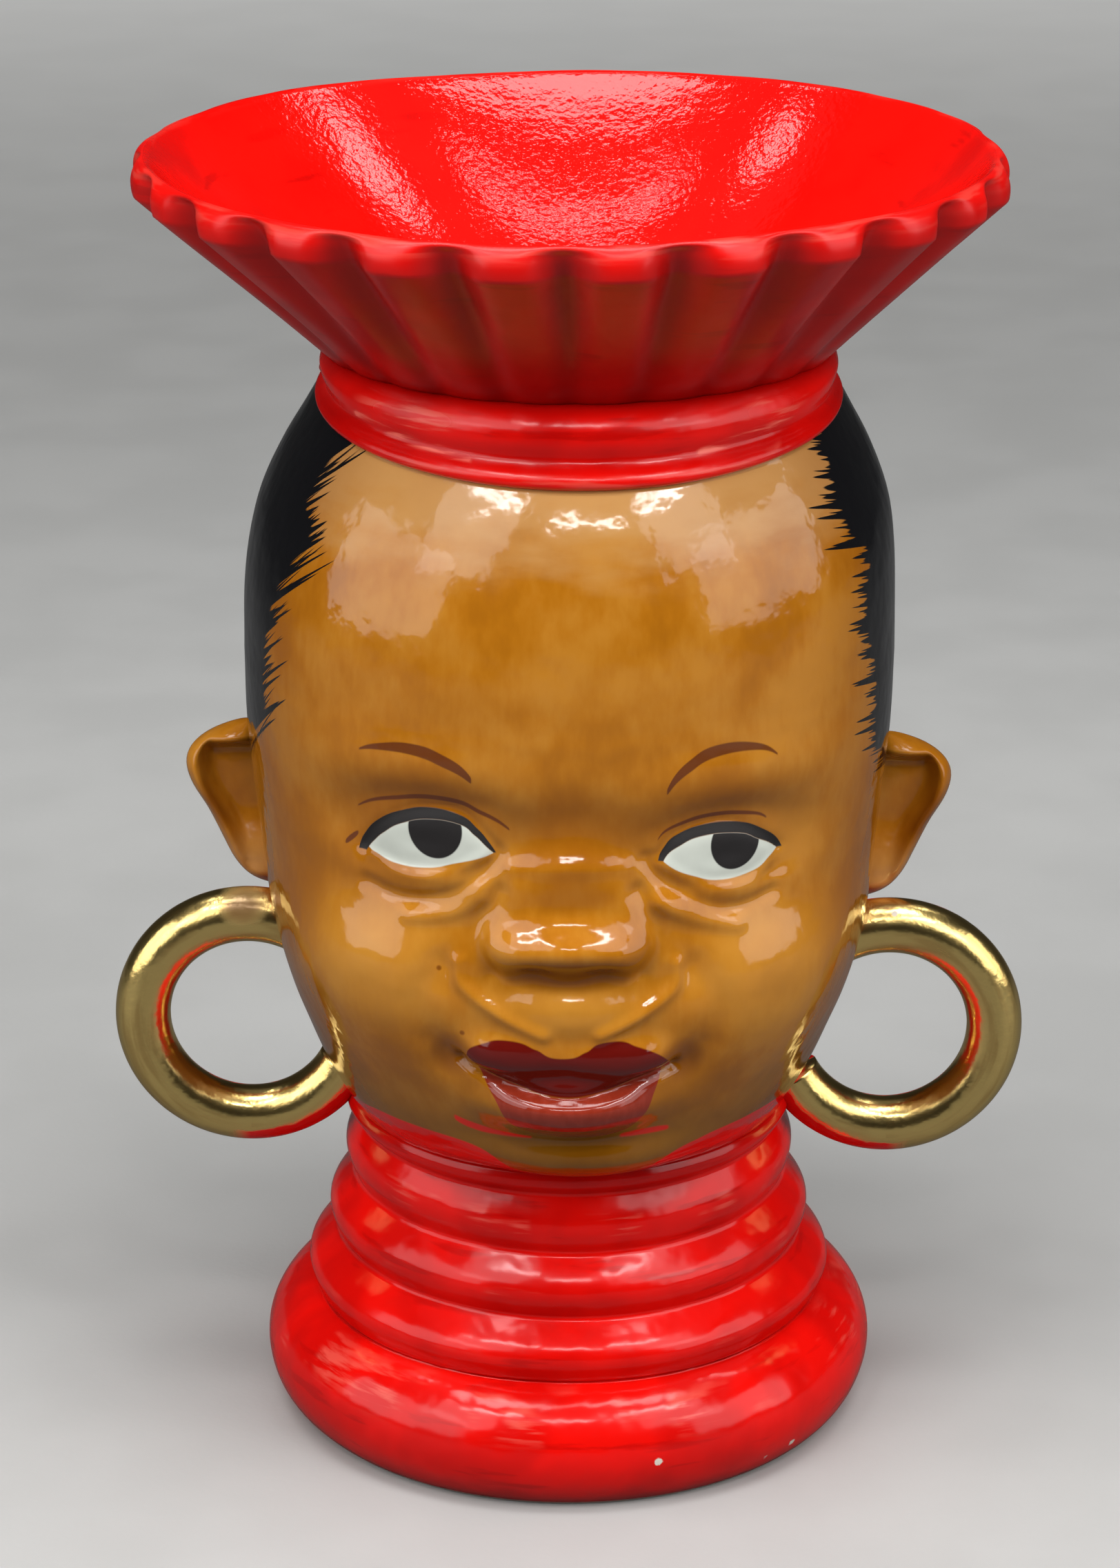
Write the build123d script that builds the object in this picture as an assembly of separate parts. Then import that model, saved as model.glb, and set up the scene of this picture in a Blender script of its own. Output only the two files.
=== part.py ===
"""A glazed earthenware head vase with a fluted hat brim, ears and hoop earrings.

The vase is a hollow vessel made of castings that are luted together. It stands on a rolled foot with a
closed floor. A collar of stacked rings rises from the foot and carries the head, which is an open shell.
The crown of the head carries a hat band, and the band carries a wide fluted brim, whose bowl is the mouth
of the vase. An ear is luted to each side of the head, and a thick hoop hangs below it, with both its ends
on the jaw. The castings register on low locating lips inside their seams.

Frame: +Z is up, the face looks along -Y, and the origin is on the ground under the middle of the foot.
Left and right are those of a viewer in front of the face, so left is -X. All sizes are millimetres.
"""

from build123d import *
import math
import os

# Shared by all seams and cuts
LUTE_GAP = 0.2               # the slip between a locating lip and its rebate
LIP_HEIGHT = 2.6
LIP_THICKNESS = 2.2
OVERRUN = 2.0                # how far a cutting tool runs past the clay that it cuts

# Foot: a roll with a closed floor and a shallow recess below it
FOOT_HEIGHT = 18.6
FOOT_ROLL_STAND_OUT = 8.0    # from the crease above the foot to its widest place
FOOT_ROLL_LEVEL = 8.4
FOOT_REST_SET_IN = 3.6       # from the widest place to the outer edge that the vase rests on
FOOT_RING_WIDTH = 6.9        # from that edge to the recess
FOOT_RECESS_DEPTH = 2.4
FOOT_RECESS_DRAFT = 1.2
FOOT_FLOOR_THICKNESS = 5.0
FOOT_WALL = 6.0
FOOT_HOLLOW_SHARES = (0.73, 0.46)

# Collar: three stacked rings and a plain neck. A step is how far the crease below a ring stands out past
# the next crease up, and a bulge is how far the ring's crest stands out past the crease below it.
LOWER_RING_HEIGHT = 9.2
LOWER_RING_STEP = 3.5
LOWER_RING_BULGE = 1.4
MIDDLE_RING_HEIGHT = 9.8
MIDDLE_RING_STEP = 2.6
MIDDLE_RING_BULGE = 1.4
UPPER_RING_HEIGHT = 9.6
UPPER_RING_STEP = 0.7
UPPER_RING_BULGE = 1.3
NECK_HEIGHT = 4.0
NECK_CREASE_DEPTH = 1.0
NECK_RADIUS = 34.4
RING_CREST_SHARE = 0.46      # how far up a ring its crest lies
COLLAR_WALL = 4.8

# Head: an open shell
HEAD_HALF_WIDTH = 49.4
HEAD_FRONT_DEPTH = 52.0
HEAD_BACK_DEPTH = 59.4
HEAD_WIDEST_RISE = 74.0      # from the neck seam to the widest level
HEAD_CROWN_RISE = 41.8       # from the widest level to the crown
CROWN_RADIUS = 38.0
HEAD_WALL = 5.0
THROAT_STEP = 0.6            # how far the throat, the way down from the bowl, is narrower than the cavity

# Hat band: a cushion below the brim, a shallow hollow, and a lip that turns out over the forehead and nape
BAND_RISE = 4.6              # from the crown to the brim's seam
BAND_STEP = 0.9              # how far the band's top stands out past the crown
BAND_HEIGHT = 11.4           # from the brim's seam down to the lip's lower edge
BAND_LIP_STAND_OUT = 5.3     # from the band's top to the lip in front

# Fluted brim
BRIM_FLARE_HEIGHT = 24.6
BRIM_LIP_HEIGHT = 3.8
BRIM_RIB_RADIUS = 64.4
BRIM_LIP_SET_IN = 1.4        # from the ribs to the lip's outer edge
BRIM_RIM_THICKNESS = 4.0     # from the ribs to the bowl's mouth
BRIM_WELL_HEIGHT = 5.2       # from the brim's seam up to the foot of the bowl
FLUTE_COUNT = 25
FLUTE_FOOT_DEPTH = 0.5
FLUTE_RIM_DEPTH = 3.0
FLUTE_LIP_DEPTH = 1.5
FLUTE_START = -1.0           # degrees from straight ahead to the first groove

# Ears: each a cupped shell on the side of the head, tapering down to its lobe
EAR_HEIGHT = 26.4
EAR_STAND_OUT = 10.4         # past the head's half width
EAR_THICKNESS = 11.0
EAR_FRONT = 4.4              # how far the ear's middle lies behind the head's axis
EAR_LEFT_TOP_RISE = 59.0     # from the neck seam
EAR_RIGHT_TOP_RISE = 56.8
EAR_CUP_WIDTH = 9.0
EAR_CUP_HEIGHT = 15.0
EAR_CUP_DEPTH = 4.4

# Hoops: each a thick ring below an ear, with both its ends on the head
HOOP_RING_RADIUS = 16.8
HOOP_TUBE_RADIUS = 4.3
HOOP_STAND_OUT = 0.5         # past the head's half width to the hoop's middle
HOOP_FRONT = 3.0             # ahead of the head's axis
HOOP_LEFT_RISE = 12.7        # from the neck seam to the hoop's middle
HOOP_RIGHT_RISE = 10.8
HOOP_NECK_GAP = 0.8          # how far a hoop's lower end stands clear of the neck below the seam

# The head's plain form. A row is the share of the rise, then the shares of the way from the end's radius
# to the full head: half width, front depth and back depth. The neck's rows run from the neck seam up to
# the widest level, and the crown's rows run from the crown down to it.
NECK_SHARES = (
    (0.00, 0.00, 0.00, 0.00),
    (0.04, 0.07, 0.30, 0.04),
    (0.09, 0.19, 0.55, 0.12),
    (0.15, 0.33, 0.70, 0.25),
    (0.22, 0.46, 0.79, 0.39),
    (0.30, 0.59, 0.85, 0.54),
    (0.41, 0.71, 0.89, 0.71),
    (0.54, 0.82, 0.91, 0.85),
    (0.68, 0.91, 0.93, 0.94),
    (0.84, 0.98, 0.97, 0.99),
    (1.00, 1.00, 1.00, 1.00),
)
CROWN_SHARES = (
    (0.00, 0.00, 0.00, 0.00),
    (0.14, 0.28, 0.30, 0.25),
    (0.28, 0.56, 0.57, 0.53),
    (0.44, 0.80, 0.78, 0.78),
    (0.60, 0.92, 0.91, 0.91),
    (0.78, 0.98, 0.98, 0.98),
    (1.00, 1.00, 1.00, 1.00),
)

# The relief of the face. A row is the place across and above the neck seam, and the spread across, above
# and below, as shares of the head's half width, then how broad the top is, and the height as a share of
# the relief.
FACE_RELIEF = 10.0
FACE_SHARES = (
    (0.00, 0.92, 0.221, 0.093, 0.101, 1.5, 0.64),     # dome of the nose
    (-0.17, 0.89, 0.077, 0.077, 0.065, 1.1, 0.18),    # left wing of the nose
    (0.16, 0.88, 0.077, 0.077, 0.065, 1.1, 0.18),     # right wing of the nose
    (0.00, 1.04, 0.300, 0.090, 0.100, 1.2, 0.13),     # rise below the bridge of the nose
    (0.00, 0.70, 0.220, 0.085, 0.085, 1.3, 0.21),     # slope from the nose to the upper lip
    (-0.15, 0.54, 0.146, 0.065, 0.061, 1.3, 0.20),    # left half of the upper lip
    (0.13, 0.53, 0.146, 0.065, 0.061, 1.3, 0.20),     # right half of the upper lip
    (0.00, 0.36, 0.230, 0.077, 0.089, 1.5, 0.36),     # lower lip
    (0.00, 0.48, 0.360, 0.240, 0.240, 1.2, 0.30),     # swell round the mouth
    (0.04, 0.12, 0.280, 0.097, 0.093, 1.2, 0.36),     # chin
    (-0.56, 0.70, 0.270, 0.260, 0.260, 1.3, 0.30),    # left cheek
    (0.57, 0.68, 0.270, 0.260, 0.260, 1.3, 0.30),     # right cheek
    (-0.42, 1.20, 0.275, 0.134, 0.113, 1.5, -0.26),   # left eye hollow
    (0.45, 1.16, 0.267, 0.130, 0.113, 1.5, -0.26),    # right eye hollow
    (-0.41, 1.19, 0.198, 0.101, 0.097, 1.8, 0.25),    # left eyeball
    (0.44, 1.14, 0.190, 0.095, 0.093, 1.8, 0.25),     # right eyeball
    (0.01, 1.24, 0.160, 0.090, 0.085, 1.2, -0.09),    # root of the nose
    (-0.45, 1.39, 0.300, 0.090, 0.090, 1.2, 0.08),    # left brow
    (0.47, 1.37, 0.300, 0.090, 0.090, 1.2, 0.08),     # right brow
)
SECTION_POINTS = 72
SECTION_CROWDING_SHARE = 0.55    # how much closer the points of a section lie in front
SECTION_SQUARENESS = 0.2         # 0 gives an ellipse at the widest level, and more squares it
NECK_SECTIONS = 37
CROWN_SECTIONS = 10

# The hat band's sections, from the brim's seam down: the depth as a share of the band's height, and how far
# the sides, and the front and back, lie past the band's top, as shares of the lip's stand-out
BAND_SHARES = (
    (0.00, 0.00, 0.00),
    (0.13, 0.22, 0.30),
    (0.28, 0.30, 0.52),
    (0.43, 0.32, 0.60),
    (0.56, 0.32, 0.60),
    (0.66, 0.32, 0.66),
    (0.77, 0.36, 0.88),
    (0.87, 0.42, 1.04),
    (0.95, 0.40, 1.00),
    (1.00, 0.30, 0.80),
)

# An ear's outline, level by level from the lobe up: its height, stand-out and thickness as shares
EAR_SHARES = (
    (0.00, 0.34, 0.42),
    (0.18, 0.48, 0.74),
    (0.40, 0.68, 0.94),
    (0.62, 0.90, 1.00),
    (0.80, 1.00, 0.94),
    (0.93, 0.84, 0.66),
    (1.00, 0.48, 0.26),
)

# Levels and radii that follow from the sizes above
MIDDLE_RING_LEVEL = FOOT_HEIGHT + LOWER_RING_HEIGHT
UPPER_RING_LEVEL = MIDDLE_RING_LEVEL + MIDDLE_RING_HEIGHT
NECK_LEVEL = UPPER_RING_LEVEL + UPPER_RING_HEIGHT
NECK_SEAM = NECK_LEVEL + NECK_HEIGHT
WIDEST_LEVEL = NECK_SEAM + HEAD_WIDEST_RISE
CROWN_SEAM = WIDEST_LEVEL + HEAD_CROWN_RISE
BRIM_SEAM = CROWN_SEAM + BAND_RISE
RIB_LEVEL = BRIM_SEAM + BRIM_FLARE_HEIGHT
RIM_LEVEL = RIB_LEVEL + BRIM_LIP_HEIGHT
NECK_CREASE_RADIUS = NECK_RADIUS - NECK_CREASE_DEPTH
UPPER_CREASE_RADIUS = NECK_CREASE_RADIUS + UPPER_RING_STEP
MIDDLE_CREASE_RADIUS = UPPER_CREASE_RADIUS + MIDDLE_RING_STEP
LOWER_CREASE_RADIUS = MIDDLE_CREASE_RADIUS + LOWER_RING_STEP
FOOT_ROLL_RADIUS = LOWER_CREASE_RADIUS + FOOT_ROLL_STAND_OUT
FOOT_REST_RADIUS = FOOT_ROLL_RADIUS - FOOT_REST_SET_IN
FOOT_RECESS_RADIUS = FOOT_REST_RADIUS - FOOT_RING_WIDTH
FOOT_BORE = LOWER_CREASE_RADIUS - COLLAR_WALL
NECK_BORE = NECK_CREASE_RADIUS - COLLAR_WALL
THROAT_RADIUS = CROWN_RADIUS - HEAD_WALL - THROAT_STEP
BAND_TOP_RADIUS = CROWN_RADIUS + BAND_STEP
BRIM_LIP_RADIUS = BRIM_RIB_RADIUS - BRIM_LIP_SET_IN
BRIM_MOUTH_RADIUS = BRIM_RIB_RADIUS - BRIM_RIM_THICKNESS


def solid_of(shape):
    """The one solid of a shape."""
    return shape.solids().sort_by(SortBy.VOLUME)[-1]


def plug(radius, bottom, top):
    """A cylinder on the vase's axis between two levels."""
    return Pos(0, 0, bottom) * Cylinder(radius, top - bottom, align=(Align.CENTER, Align.CENTER, Align.MIN))


def turned(edges):
    """A solid turned about the vase's axis from the closed outline of its half section."""
    return revolve(make_face(Wire(edges)), Axis.Z)


def at(radius, level):
    """A point of a half section."""
    return (radius, 0, level)


def path(*points):
    """The straight edges that join some points of a half section."""
    return [Edge.make_line(at(*start), at(*end)) for start, end in zip(points, points[1:])]


def arc(start, middle, end):
    """An arc of a half section through three points."""
    return Edge.make_three_point_arc(at(*start), at(*middle), at(*end))


def locating_lip(bore, seam):
    """A low ring that stands on the casting below a seam."""
    ring = plug(bore + LIP_THICKNESS, seam, seam + LIP_HEIGHT)
    return ring - plug(bore, seam - OVERRUN, seam + LIP_HEIGHT + OVERRUN)


def rebate(bore, seam):
    """The room that the casting above a seam leaves for the locating lip."""
    return plug(bore + LIP_THICKNESS + LUTE_GAP, seam - OVERRUN, seam + LIP_HEIGHT + LUTE_GAP)


def smooth_share(rows, column, height):
    """One column of a table of shares at a height, on a smooth curve through its rows."""
    heights = [row[0] for row in rows]
    values = [row[column] for row in rows]
    last = len(rows) - 1
    slopes = []
    for i in range(len(rows)):
        below, above = max(i - 1, 0), min(i + 1, last)
        slopes.append((values[above] - values[below]) / (heights[above] - heights[below]))
    i = min(max(sum(1 for row_height in heights if row_height <= height) - 1, 0), last - 1)
    step = heights[i + 1] - heights[i]
    t = (height - heights[i]) / step
    rise = values[i + 1] - values[i]
    start, end = slopes[i] * step, slopes[i + 1] * step
    return values[i] + t * start + t**2 * (3 * rise - 2 * start - end) + t**3 * (start + end - 2 * rise)


def head_shares(level):
    """The end's radius at a level, and how far the half width, front and back have grown from it."""
    if level <= WIDEST_LEVEL:
        rows, height, end = NECK_SHARES, (level - NECK_SEAM) / HEAD_WIDEST_RISE, NECK_RADIUS
    else:
        rows, height, end = CROWN_SHARES, (CROWN_SEAM - level) / HEAD_CROWN_RISE, CROWN_RADIUS
    return end, [smooth_share(rows, column, height) for column in (1, 2, 3)]


def face_relief(x, level):
    """How far the face stands out at a place seen from the front."""
    across = x / HEAD_HALF_WIDTH
    up = (level - NECK_SEAM) / HEAD_HALF_WIDTH
    total = 0
    for place_across, place_up, spread_across, above, below, breadth, height in FACE_SHARES:
        spread_up = above if up > place_up else below
        far = ((across - place_across) / spread_across) ** 2 + ((up - place_up) / spread_up) ** 2
        total += height * math.exp(-(far**breadth))
    return total * FACE_RELIEF


def head_section(level, inset, with_face):
    """The head's section at one level, inset from its surface, as a flat face."""
    end, (width_share, front_share, back_share) = head_shares(level)
    half_width = end + width_share * (HEAD_HALF_WIDTH - end) - inset
    front = end + front_share * (HEAD_FRONT_DEPTH - end) - inset
    back = end + back_share * (HEAD_BACK_DEPTH - end) - inset
    power = 2 / (2 + SECTION_SQUARENESS * width_share)
    points = []
    for i in range(SECTION_POINTS):
        turn = math.tau * (i / SECTION_POINTS) - math.pi
        angle = turn - SECTION_CROWDING_SHARE * math.sin(turn)
        across, along = math.sin(angle), math.cos(angle)
        depth = front if along > 0 else back
        x = half_width * math.copysign(abs(across) ** power, across)
        y = -depth * math.copysign(abs(along) ** power, along)
        if with_face and along > 0:
            grown = 1 + face_relief(x, level) / math.hypot(x, y)
            x, y = x * grown, y * grown
        points.append((x, y, level))
    marks = [i / SECTION_POINTS for i in range(SECTION_POINTS + 1)]
    return Face(Wire([Edge.make_spline(points, periodic=True, parameters=marks)]))


def head_form(inset, with_face):
    """The head as one closed form from the neck seam to the crown."""
    levels = [NECK_SEAM + HEAD_WIDEST_RISE * i / NECK_SECTIONS for i in range(NECK_SECTIONS)]
    levels += [WIDEST_LEVEL + HEAD_CROWN_RISE * i / CROWN_SECTIONS for i in range(CROWN_SECTIONS + 1)]
    return solid_of(loft([head_section(level, inset, with_face) for level in levels]))


def base_roll():
    """The foot: a hollow roll with a floor, a foot ring and the collar's locating lip."""
    floor = FOOT_RECESS_DEPTH + FOOT_FLOOR_THICKNESS
    hollow_radius = FOOT_ROLL_RADIUS - FOOT_WALL
    across, up = FOOT_HOLLOW_SHARES
    bulge = (FOOT_BORE + across * (hollow_radius - FOOT_BORE), floor + up * (FOOT_HEIGHT - floor))
    roll = arc(
        (FOOT_REST_RADIUS, 0),
        (FOOT_ROLL_RADIUS, FOOT_ROLL_LEVEL),
        (LOWER_CREASE_RADIUS, FOOT_HEIGHT),
    )
    hollow = arc((FOOT_BORE, FOOT_HEIGHT), bulge, (hollow_radius, floor))
    seam = path((LOWER_CREASE_RADIUS, FOOT_HEIGHT), (FOOT_BORE, FOOT_HEIGHT))
    underside = path(
        (hollow_radius, floor),
        (0, floor),
        (0, FOOT_RECESS_DEPTH),
        (FOOT_RECESS_RADIUS - FOOT_RECESS_DRAFT, FOOT_RECESS_DEPTH),
        (FOOT_RECESS_RADIUS, 0),
        (FOOT_REST_RADIUS, 0),
    )
    return turned([roll, *seam, hollow, *underside]) + locating_lip(FOOT_BORE, FOOT_HEIGHT)


def ringed_collar():
    """The collar: three stacked rings and the neck, with a bore that follows their creases."""
    rings = (
        (FOOT_HEIGHT, LOWER_CREASE_RADIUS, LOWER_RING_BULGE, LOWER_RING_HEIGHT),
        (MIDDLE_RING_LEVEL, MIDDLE_CREASE_RADIUS, MIDDLE_RING_BULGE, MIDDLE_RING_HEIGHT),
        (UPPER_RING_LEVEL, UPPER_CREASE_RADIUS, UPPER_RING_BULGE, UPPER_RING_HEIGHT),
        (NECK_LEVEL, NECK_CREASE_RADIUS, NECK_CREASE_DEPTH, NECK_HEIGHT),
    )
    outline = []
    bore = [(FOOT_BORE, FOOT_HEIGHT)]
    for (level, crease, bulge, height), above in zip(rings, rings[1:]):
        crest_point = (crease + bulge, level + RING_CREST_SHARE * height)
        outline.append(arc((crease, level), crest_point, (above[1], above[0])))
        bore.append((above[1] - COLLAR_WALL, above[0]))
    outline += path((NECK_CREASE_RADIUS, NECK_LEVEL), (NECK_RADIUS, NECK_SEAM), (NECK_BORE, NECK_SEAM))
    outline += path((NECK_BORE, NECK_SEAM), *reversed(bore))
    outline += path((FOOT_BORE, FOOT_HEIGHT), (LOWER_CREASE_RADIUS, FOOT_HEIGHT))
    collar = turned(outline) + locating_lip(NECK_BORE, NECK_SEAM)
    return collar - rebate(FOOT_BORE, FOOT_HEIGHT)


def head_shell(outside, inside):
    """The head: its outer form with the cavity, the neck's rebate and the band's locating lip."""
    head = outside - inside + locating_lip(THROAT_RADIUS, CROWN_SEAM)
    return head - rebate(NECK_BORE, NECK_SEAM)


def hat_band(head):
    """The band: round below the brim, with a lip that stands out in front and behind, fitted to the head."""
    sections = []
    for depth_share, side_share, front_share in BAND_SHARES:
        half_width = BAND_TOP_RADIUS + side_share * BAND_LIP_STAND_OUT
        half_depth = BAND_TOP_RADIUS + front_share * BAND_LIP_STAND_OUT
        sections.append(Pos(0, 0, BRIM_SEAM - depth_share * BAND_HEIGHT) * Ellipse(half_width, half_depth))
    band = loft(sections) - head
    band -= plug(THROAT_RADIUS, BRIM_SEAM - BAND_HEIGHT - OVERRUN, BRIM_SEAM + OVERRUN)
    band += locating_lip(THROAT_RADIUS, BRIM_SEAM)
    return solid_of(band - rebate(THROAT_RADIUS, CROWN_SEAM))


def fluted_section(radius, depth, level):
    """The brim's section at one level: convex ribs with narrow grooves between them."""
    pitch = math.tau / FLUTE_COUNT
    edges = []
    for i in range(FLUTE_COUNT):
        start = i * pitch + math.radians(FLUTE_START - 90)
        corners = []
        for turn, reach in ((0, radius - depth), (pitch / 2, radius), (pitch, radius - depth)):
            corners.append((reach * math.cos(start + turn), reach * math.sin(start + turn), level))
        edges.append(Edge.make_three_point_arc(*corners))
    return Face(Wire(edges))


def fluted_brim():
    """The brim: a fluted flare with a rounded lip, and a plain bowl inside that opens into the throat."""
    flare = loft(
        [
            fluted_section(BAND_TOP_RADIUS, FLUTE_FOOT_DEPTH, BRIM_SEAM),
            fluted_section(BRIM_RIB_RADIUS, FLUTE_RIM_DEPTH, RIB_LEVEL),
        ],
        ruled=True,
    )
    lip = loft(
        [
            fluted_section(BRIM_RIB_RADIUS, FLUTE_RIM_DEPTH, RIB_LEVEL),
            fluted_section(BRIM_LIP_RADIUS, FLUTE_LIP_DEPTH, RIM_LEVEL),
        ],
        ruled=True,
    )
    well = BRIM_SEAM + BRIM_WELL_HEIGHT
    slope = (BRIM_MOUTH_RADIUS - THROAT_RADIUS) / (RIM_LEVEL - well)
    bowl = turned(path(
        (0, RIM_LEVEL + OVERRUN),
        (BRIM_MOUTH_RADIUS + OVERRUN * slope, RIM_LEVEL + OVERRUN),
        (THROAT_RADIUS, well),
        (THROAT_RADIUS, BRIM_SEAM - OVERRUN),
        (0, BRIM_SEAM - OVERRUN),
        (0, RIM_LEVEL + OVERRUN),
    ))
    return solid_of(flare + lip - bowl - rebate(THROAT_RADIUS, BRIM_SEAM))


def hoop(side, rise):
    """A whole hoop ring beside the head, before its ends are fitted, with its surface's seam facing out."""
    place = Pos(side * (HEAD_HALF_WIDTH + HOOP_STAND_OUT), -HOOP_FRONT, NECK_SEAM + rise)
    seam_out = Rot(0, 0 if side > 0 else 180, 0)
    return place * seam_out * Rot(90, 0, 0) * Torus(HOOP_RING_RADIUS, HOOP_TUBE_RADIUS)


def fitted_hoop(ring, head, collar):
    """A hoop with its ends fitted to the head, clear of the neck."""
    neck = plug(NECK_RADIUS + HOOP_NECK_GAP, UPPER_RING_LEVEL, NECK_SEAM)
    return solid_of(ring - head - neck - collar)


def ear(side, top_rise):
    """A whole ear on the side of the head, before it is fitted: a tapered shell with a cup in front."""
    reach = HEAD_HALF_WIDTH + EAR_STAND_OUT
    root = HEAD_HALF_WIDTH - EAR_STAND_OUT
    bottom = NECK_SEAM + top_rise - EAR_HEIGHT
    sections = []
    for height_share, reach_share, thickness_share in EAR_SHARES:
        outer = HEAD_HALF_WIDTH + reach_share * EAR_STAND_OUT
        plane = Plane((side * (outer + root) / 2, EAR_FRONT, bottom + height_share * EAR_HEIGHT))
        sections.append(plane * Ellipse((outer - root) / 2, thickness_share * EAR_THICKNESS / 2))
    shell = loft(sections)
    cup = scale(Sphere(1), by=(EAR_CUP_WIDTH / 2, EAR_CUP_DEPTH, EAR_CUP_HEIGHT / 2))
    cup_middle = bottom + (EAR_HEIGHT + EAR_CUP_HEIGHT / 2) / 2
    return shell - Pos(side * (reach - EAR_CUP_WIDTH), EAR_FRONT - EAR_THICKNESS / 2, cup_middle) * cup


os.makedirs("parts", exist_ok=True)
outside = head_form(0, True)
inside = head_form(HEAD_WALL, False)
collar = ringed_collar()
hoops = {
    "left_hoop": hoop(-1, HOOP_LEFT_RISE),
    "right_hoop": hoop(1, HOOP_RIGHT_RISE),
}
parts = {
    "base_roll": base_roll(),
    "ringed_collar": collar,
    "head_shell": head_shell(outside, inside),
    "hat_band": hat_band(outside),
    "fluted_brim": fluted_brim(),
    "left_ear": solid_of(ear(-1, EAR_LEFT_TOP_RISE) - outside - hoops["left_hoop"]),
    "right_ear": solid_of(ear(1, EAR_RIGHT_TOP_RISE) - outside - hoops["right_hoop"]),
    "left_hoop": fitted_hoop(hoops["left_hoop"], outside, collar),
    "right_hoop": fitted_hoop(hoops["right_hoop"], outside, collar),
}
for name, shape in parts.items():
    solid = solid_of(shape)
    solid.label = name
    export_step(solid, f"parts/{name}.step")
    print(name, round(solid.volume), "mm3")
print("height", round(RIM_LEVEL, 2), "mm")
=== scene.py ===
# %% [markdown]
# # A glazed head vase
#
# This lesson dresses a head vase of painted earthenware. A potter casts such a vase in moulds, lutes the
# castings together with slip, brushes colour over them and fires a glossy glaze on top. The frame holds the
# castings as the CAD model gives them: right in size, but clean and bare. Each cell makes one casting again
# as a soft, slightly uneven body of clay, or paints one finish. Shapes are worked out in millimetres, and MM
# turns them into Blender's metres.

import math
from functools import lru_cache

import bmesh
import bpy
import numpy as np
from mathutils import Matrix, Vector, noise


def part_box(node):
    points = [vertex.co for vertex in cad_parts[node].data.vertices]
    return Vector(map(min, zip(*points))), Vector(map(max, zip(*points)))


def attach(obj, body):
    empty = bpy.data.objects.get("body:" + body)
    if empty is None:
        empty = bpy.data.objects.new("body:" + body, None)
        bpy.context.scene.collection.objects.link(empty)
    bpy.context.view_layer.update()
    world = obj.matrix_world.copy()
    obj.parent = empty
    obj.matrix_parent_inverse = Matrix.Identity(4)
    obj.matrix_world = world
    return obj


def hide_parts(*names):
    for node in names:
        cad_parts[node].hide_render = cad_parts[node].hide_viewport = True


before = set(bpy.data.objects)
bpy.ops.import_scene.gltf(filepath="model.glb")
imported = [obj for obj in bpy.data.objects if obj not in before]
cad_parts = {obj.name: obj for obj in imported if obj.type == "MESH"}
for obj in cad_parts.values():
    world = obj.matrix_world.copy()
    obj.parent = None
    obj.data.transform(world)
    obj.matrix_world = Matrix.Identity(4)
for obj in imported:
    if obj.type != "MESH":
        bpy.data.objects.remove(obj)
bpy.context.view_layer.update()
MM = 0.001

# %% [markdown]
# The seams between the castings are levels that all later cells need. They are read from the castings
# themselves, so the lesson's pieces stay on the seams whatever size the CAD model has.

# %% Read the seams
foot_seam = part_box("ringed_collar")[0].z / MM
neck_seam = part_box("head_shell")[0].z / MM
brim_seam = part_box("fluted_brim")[0].z / MM
rim_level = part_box("fluted_brim")[1].z / MM
head_half_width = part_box("head_shell")[1].x / MM
print("seams in mm", round(foot_seam, 1), round(neck_seam, 1), round(brim_seam, 1), round(rim_level, 1))

# %% [markdown]
# ## Camera
#
# The photographer stood close and held the camera a little above the hat, so the eye looks down into the
# bowl of the brim. The pitch and the distance matter more than the lens, because they decide how much of the
# bowl's inside shows.

# %% Place the camera
CAMERA_PLACE = Vector((-1.4, -628.2, 328.4)) * MM
CAMERA_PITCH = math.radians(19.9)
CAMERA_LENS = 99.35
SENSOR_HEIGHT = 36


def placed(name, data):
    """A new object in the scene that shows some data."""
    thing = bpy.data.objects.new(name, data)
    bpy.context.scene.collection.objects.link(thing)
    return thing


camera = placed("camera", bpy.data.cameras.new("camera"))
camera.data.sensor_fit = "VERTICAL"
camera.data.sensor_height = SENSOR_HEIGHT
camera.data.lens = CAMERA_LENS
camera.location = CAMERA_PLACE
camera.rotation_euler = (math.radians(90) - CAMERA_PITCH, 0, 0)
bpy.context.scene.camera = camera
print("camera", [round(value, 3) for value in camera.location])

# %% [markdown]
# ## Clay tools
#
# Hand-finished clay is never quite true. Low, wide waves in the surface make the reflections of the lamps
# wander, which says more about handwork than any colour. One helper gives that wave at a place, and each
# casting takes its own share of it, as a wavelength, a height and sometimes a shift to other waves.

# %% Waves of handwork
def hand_wave(place, wavelength, height, shift=(0, 0, 0)):
    """A soft offset in millimetres at a place in millimetres, the same on every run."""
    return noise.noise((Vector(place) + Vector(shift)) / wavelength) * height


def swell_out(point, swell):
    """Moves a point straight out from the axis by some millimetres."""
    reach = math.hypot(point.x, point.y)
    point.x *= 1 + swell / reach
    point.y *= 1 + swell / reach


def blend(start, end, share):
    """The value that lies a share of the way from start to end."""
    return start + (end - start) * share


def eased(value, low, high):
    """0 below low, 1 above high, and a soft curve between them."""
    share = min(max((value - low) / (high - low), 0), 1)
    return share * share * (3 - 2 * share)


# %% [markdown]
# Most castings are round, and a potter's template cuts them from a half section. bmesh's spin operator does
# the same: a closed outline of a few points is turned round the axis. The alternative, a lathe of stacked
# circles, needs its own faces at the ends. Round stretches are arcs and soft ones are a smooth curve through
# a few points. A spin gets slower with every step, so only an eighth of the turn is spun. That wedge is then
# doubled three times, and the points where the wedges meet are merged.

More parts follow.
